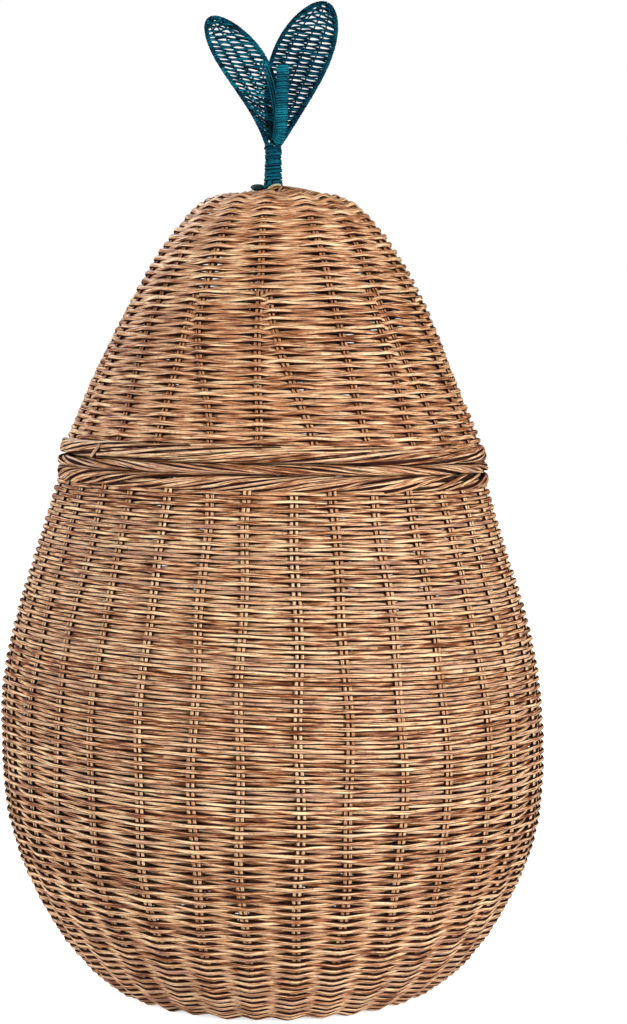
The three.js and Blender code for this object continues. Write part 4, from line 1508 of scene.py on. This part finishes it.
def stake_material():
    """The base stakes' natural rods, which are lighter than the weavers."""
    c = bpy.context.scene.basket_colours
    tones = (c.painted_crease_shade, c.brown, c.tan, c.straw, c.cream)
    return cane_material(
        "rattan_rod", tones, c.cream,
        spread=0.5, drift=0.6, streaks=2.6, shine=0.2, edge=0.7,
    )


def lid_stake_material():
    """The lid stakes' natural rods, as dark as the weavers: partly their own browner colour and partly
    painted shade for the shaded windows of the lid.
    """
    c = bpy.context.scene.basket_colours
    tones = (c.painted_crease_shade, c.russet, c.brown, c.tan, c.straw)
    return cane_material(
        "rattan_lid_rod", tones, c.tan,
        spread=0.5, drift=0.6, streaks=3, shine=0.2, edge=0.74,
    )


def teal_material():
    """Cane painted teal."""
    c = bpy.context.scene.basket_colours
    tones = (c.darkest_teal_and_painted_shade, c.deep_teal, c.teal, c.light_teal)
    return cane_material(
        "teal_cane", tones, c.teal,
        spread=0.9, drift=1.2, streaks=3.2, shine=0.06, edge=0.98,
    )


def stalk_teal_material():
    """Cane painted teal, more evenly and lighter, for the stalk's winding and, as painted light, for the
    left leaf's band.
    """
    c = bpy.context.scene.basket_colours
    tones = (c.darkest_teal_and_painted_shade, c.deep_teal, c.teal, c.light_teal, c.light_teal)
    return cane_material(
        "stalk_teal_cane", tones, c.teal,
        spread=0.5, drift=0.8, streaks=2.4, shine=0.08, edge=0.92,
    )


def right_leaf_shaded_teal_material():
    """Cane painted teal, darker, for the right leaf: painted shade, as that leaf is turned from the light.
    """
    c = bpy.context.scene.basket_colours
    tones = (c.darkest_teal_and_painted_shade, c.darkest_teal_and_painted_shade, c.deep_teal, c.teal, c.teal)
    return cane_material(
        "right_leaf_shaded_teal_cane", tones, c.deep_teal,
        spread=0.9, drift=1.2, streaks=3.0, shine=0.05, edge=0.98, inner=1,
    )


def leaf_teal_material():
    """Cane painted teal, for the left leaf, which is lighter as it faces the light; the right leaf's
    darker copy is painted shade.
    """
    c = bpy.context.scene.basket_colours
    tones = (c.darkest_teal_and_painted_shade, c.darkest_teal_and_painted_shade, c.deep_teal, c.teal, c.light_teal)
    return cane_material(
        "leaf_teal_cane", tones, c.teal,
        spread=0.9, drift=1.2, streaks=3.0, shine=0.05, edge=1.0, inner=1,
    )


def moss_material():
    """Flat cane stained dark green, whose lightest tone, four times the green, is a painted highlight."""
    c = bpy.context.scene.basket_colours
    light = [min(1, part * 4) for part in c.moss]
    tones = (c.darkest_teal_and_painted_shade, c.moss, c.moss, light)
    return cane_material("moss_cane", tones, c.moss, spread=0.4, drift=0.6, streaks=0.8, shine=0.08)


def pale_material():
    """Cane stained pale green, whose creases take moss green as painted shade."""
    c = bpy.context.scene.basket_colours
    tones = (c.moss, [part * 0.6 for part in c.pale_green], c.pale_green, c.pale_green)
    return cane_material("pale_green_cane", tones, c.pale_green, spread=0.4, drift=0.6, streaks=0.8)


# Stage


class BASKET_OT_stage(bpy.types.Operator):
    """Sets up the camera, the lamps, the floor and the even white surroundings"""

    bl_idname = "basket.stage"
    bl_label = "Stage"

    def execute(self, context):
        stage = context.scene.basket_stage
        scene = context.scene
        lens = bpy.data.cameras.new("camera")
        lens.sensor_fit = "AUTO"
        lens.sensor_width = 36
        lens.lens = stage.lens
        lens.shift_x = stage.shift
        camera = bpy.data.objects.new("camera", lens)
        camera.location = (0, -stage.distance, stage.height)
        camera.rotation_euler = (np.pi / 2 - stage.tilt, 0, 0)
        scene.collection.objects.link(camera)
        scene.camera = camera

        middle = (0, 0, 0.3)
        shoulder = (0, 0, 0.35)
        self.lamp("key_lamp", (1.9, -1.9, 0.85), middle, 0.8, stage.key)
        self.lamp("fill_lamp", (-1.7, -1.9, 0.75), middle, 1.4, stage.fill)
        self.lamp("side_lamp", (-2.3, -0.25, 0.7), middle, 0.5, stage.side)
        self.lamp("back_lamp", (-1.2, 1.9, 2.0), shoulder, 1.6, stage.back)
        self.floor()
        self.sky(stage.sky)
        scene.view_settings.view_transform = "Standard"
        return {"FINISHED"}

    def lamp(self, name, place, target, size, power):
        """A square area lamp that faces a target."""
        light = bpy.data.lights.new(name, "AREA")
        light.size = size
        light.energy = power
        lamp = bpy.data.objects.new(name, light)
        away = np.array(place) - np.array(target)
        lamp.location = place
        tilt = np.arctan2(np.hypot(away[0], away[1]), away[2])
        lamp.rotation_euler = (tilt, 0, np.arctan2(away[0], -away[1]))
        bpy.context.scene.collection.objects.link(lamp)

    def floor(self):
        """A wide disc: a fan round its middle, and bands from ring to ring of points."""
        radii = np.array((0.15, 0.3, 0.6, 1.2, 2.4, 5.0, 12.0))
        around = 48
        k = np.arange(around)
        following = (k + 1) % around
        outward = level_outward(k * 2 * np.pi / around)
        rings = (outward[None] * radii[:, None, None]).reshape(-1, 3)
        points = np.concatenate((np.zeros((1, 3)), rings))
        fan = np.stack((np.zeros_like(k), 1 + k, 1 + following), 1)
        inner = 1 + np.arange(len(radii) - 1)[:, None] * around
        outer = inner + around
        bands = np.stack((inner + k, outer + k, outer + following, inner + following), -1).reshape(-1, 4)
        mesh = bpy.data.meshes.new("floor")
        mesh.from_pydata(points.tolist(), [], fan.tolist() + bands.tolist())
        mesh.materials.append(self.floor_material())
        floor = bpy.data.objects.new("floor", mesh)
        bpy.context.scene.collection.objects.link(floor)

    def floor_material(self):
        """Matt white that also glows to the camera alone, more so far off, so that it looks white.

        The shadows near the middle stay, as the glow is added to them.
        """
        made, tree, shader = bare_material("floor_white")
        shader.inputs["Base Color"].default_value = (0.85, 0.85, 0.85, 1)
        shader.inputs["Roughness"].default_value = 0.9
        shader.inputs["Specular IOR Level"].default_value = 0.1
        path = node(tree, "LightPath")
        glow = node(tree, "Emission", (("Color", (1, 1, 1, 1)),))
        place = node(tree, "TexCoord").outputs["Object"]
        away = node(tree, "VectorMath", ((0, place),), operation="LENGTH").outputs["Value"]
        grown = map_range(tree, away, 0.6, 2.5, 0.72, 1.0)
        strength = math(tree, "MULTIPLY", path.outputs["Is Camera Ray"], grown)
        tree.links.new(strength, glow.inputs["Strength"])
        both = node(tree, "AddShader")
        tree.links.new(shader.outputs[0], both.inputs[0])
        tree.links.new(glow.outputs[0], both.inputs[1])
        output = next(n for n in tree.nodes if n.type == "OUTPUT_MATERIAL")
        tree.links.new(both.outputs[0], output.inputs["Surface"])
        return made

    def sky(self, strength):
        """Even white light all round, which the camera sees as plain white."""
        world = bpy.data.worlds.new("studio")
        world.use_nodes = True
        tree = world.node_tree
        tree.nodes.clear()
        path = node(tree, "LightPath")
        level = map_range(tree, path.outputs["Is Camera Ray"], 0, 1, strength, 1.0)
        light = node(tree, "Background", (("Color", (1, 1, 1, 1)), ("Strength", level)))
        output = tree.nodes.new("ShaderNodeOutputWorld")
        tree.links.new(light.outputs[0], output.inputs["Surface"])
        bpy.context.scene.world = world


class BASKET_PT_panel(bpy.types.Panel):
    """Lists the basket's sizes, colours and pieces"""

    bl_idname = "BASKET_PT_panel"
    bl_label = "Pear basket"
    bl_space_type = "VIEW_3D"
    bl_region_type = "UI"
    bl_category = "Basket"

    def draw(self, context):
        for label, settings in (
            ("Shape", context.scene.basket_shape),
            ("Weave", context.scene.basket_weave),
            ("Leaves", context.scene.basket_leaves),
            ("Stem", context.scene.basket_stem),
            ("Colours", context.scene.basket_colours),
            ("Stage", context.scene.basket_stage),
        ):
            self.layout.label(text=label)
            for key in settings.__annotations__:
                self.layout.prop(settings, key)
        for operator in OPERATORS:
            self.layout.operator(operator.bl_idname)


SETTINGS = {
    "basket_shape": BasketShape,
    "basket_weave": BasketWeave,
    "basket_colours": BasketColours,
    "basket_leaves": BasketLeaves,
    "basket_stem": BasketStem,
    "basket_stage": BasketStage,
}
OPERATORS = (
    BASKET_OT_stage,
    BASKET_OT_base_weave,
    BASKET_OT_base_stakes,
    BASKET_OT_lid_weave,
    BASKET_OT_lid_stakes,
    BASKET_OT_borders,
    BASKET_OT_collar,
    BASKET_OT_stem,
    BASKET_OT_stalk,
    BASKET_OT_leaves,
    BASKET_OT_crown_ties,
)
CLASSES = (*SETTINGS.values(), *OPERATORS, BASKET_PT_panel)


def register():
    """Registers the classes and gives the scene their settings."""
    for made in CLASSES:
        bpy.utils.register_class(made)
    for name, settings in SETTINGS.items():
        setattr(bpy.types.Scene, name, bpy.props.PointerProperty(type=settings))


def unregister():
    """Undoes register."""
    for name in SETTINGS:
        delattr(bpy.types.Scene, name)
    for made in reversed(CLASSES):
        bpy.utils.unregister_class(made)


def main():
    register()
    for operator in OPERATORS:
        family, name = operator.bl_idname.split(".")
        getattr(getattr(bpy.ops, family), name)()


if __name__ == "__main__":
    main()
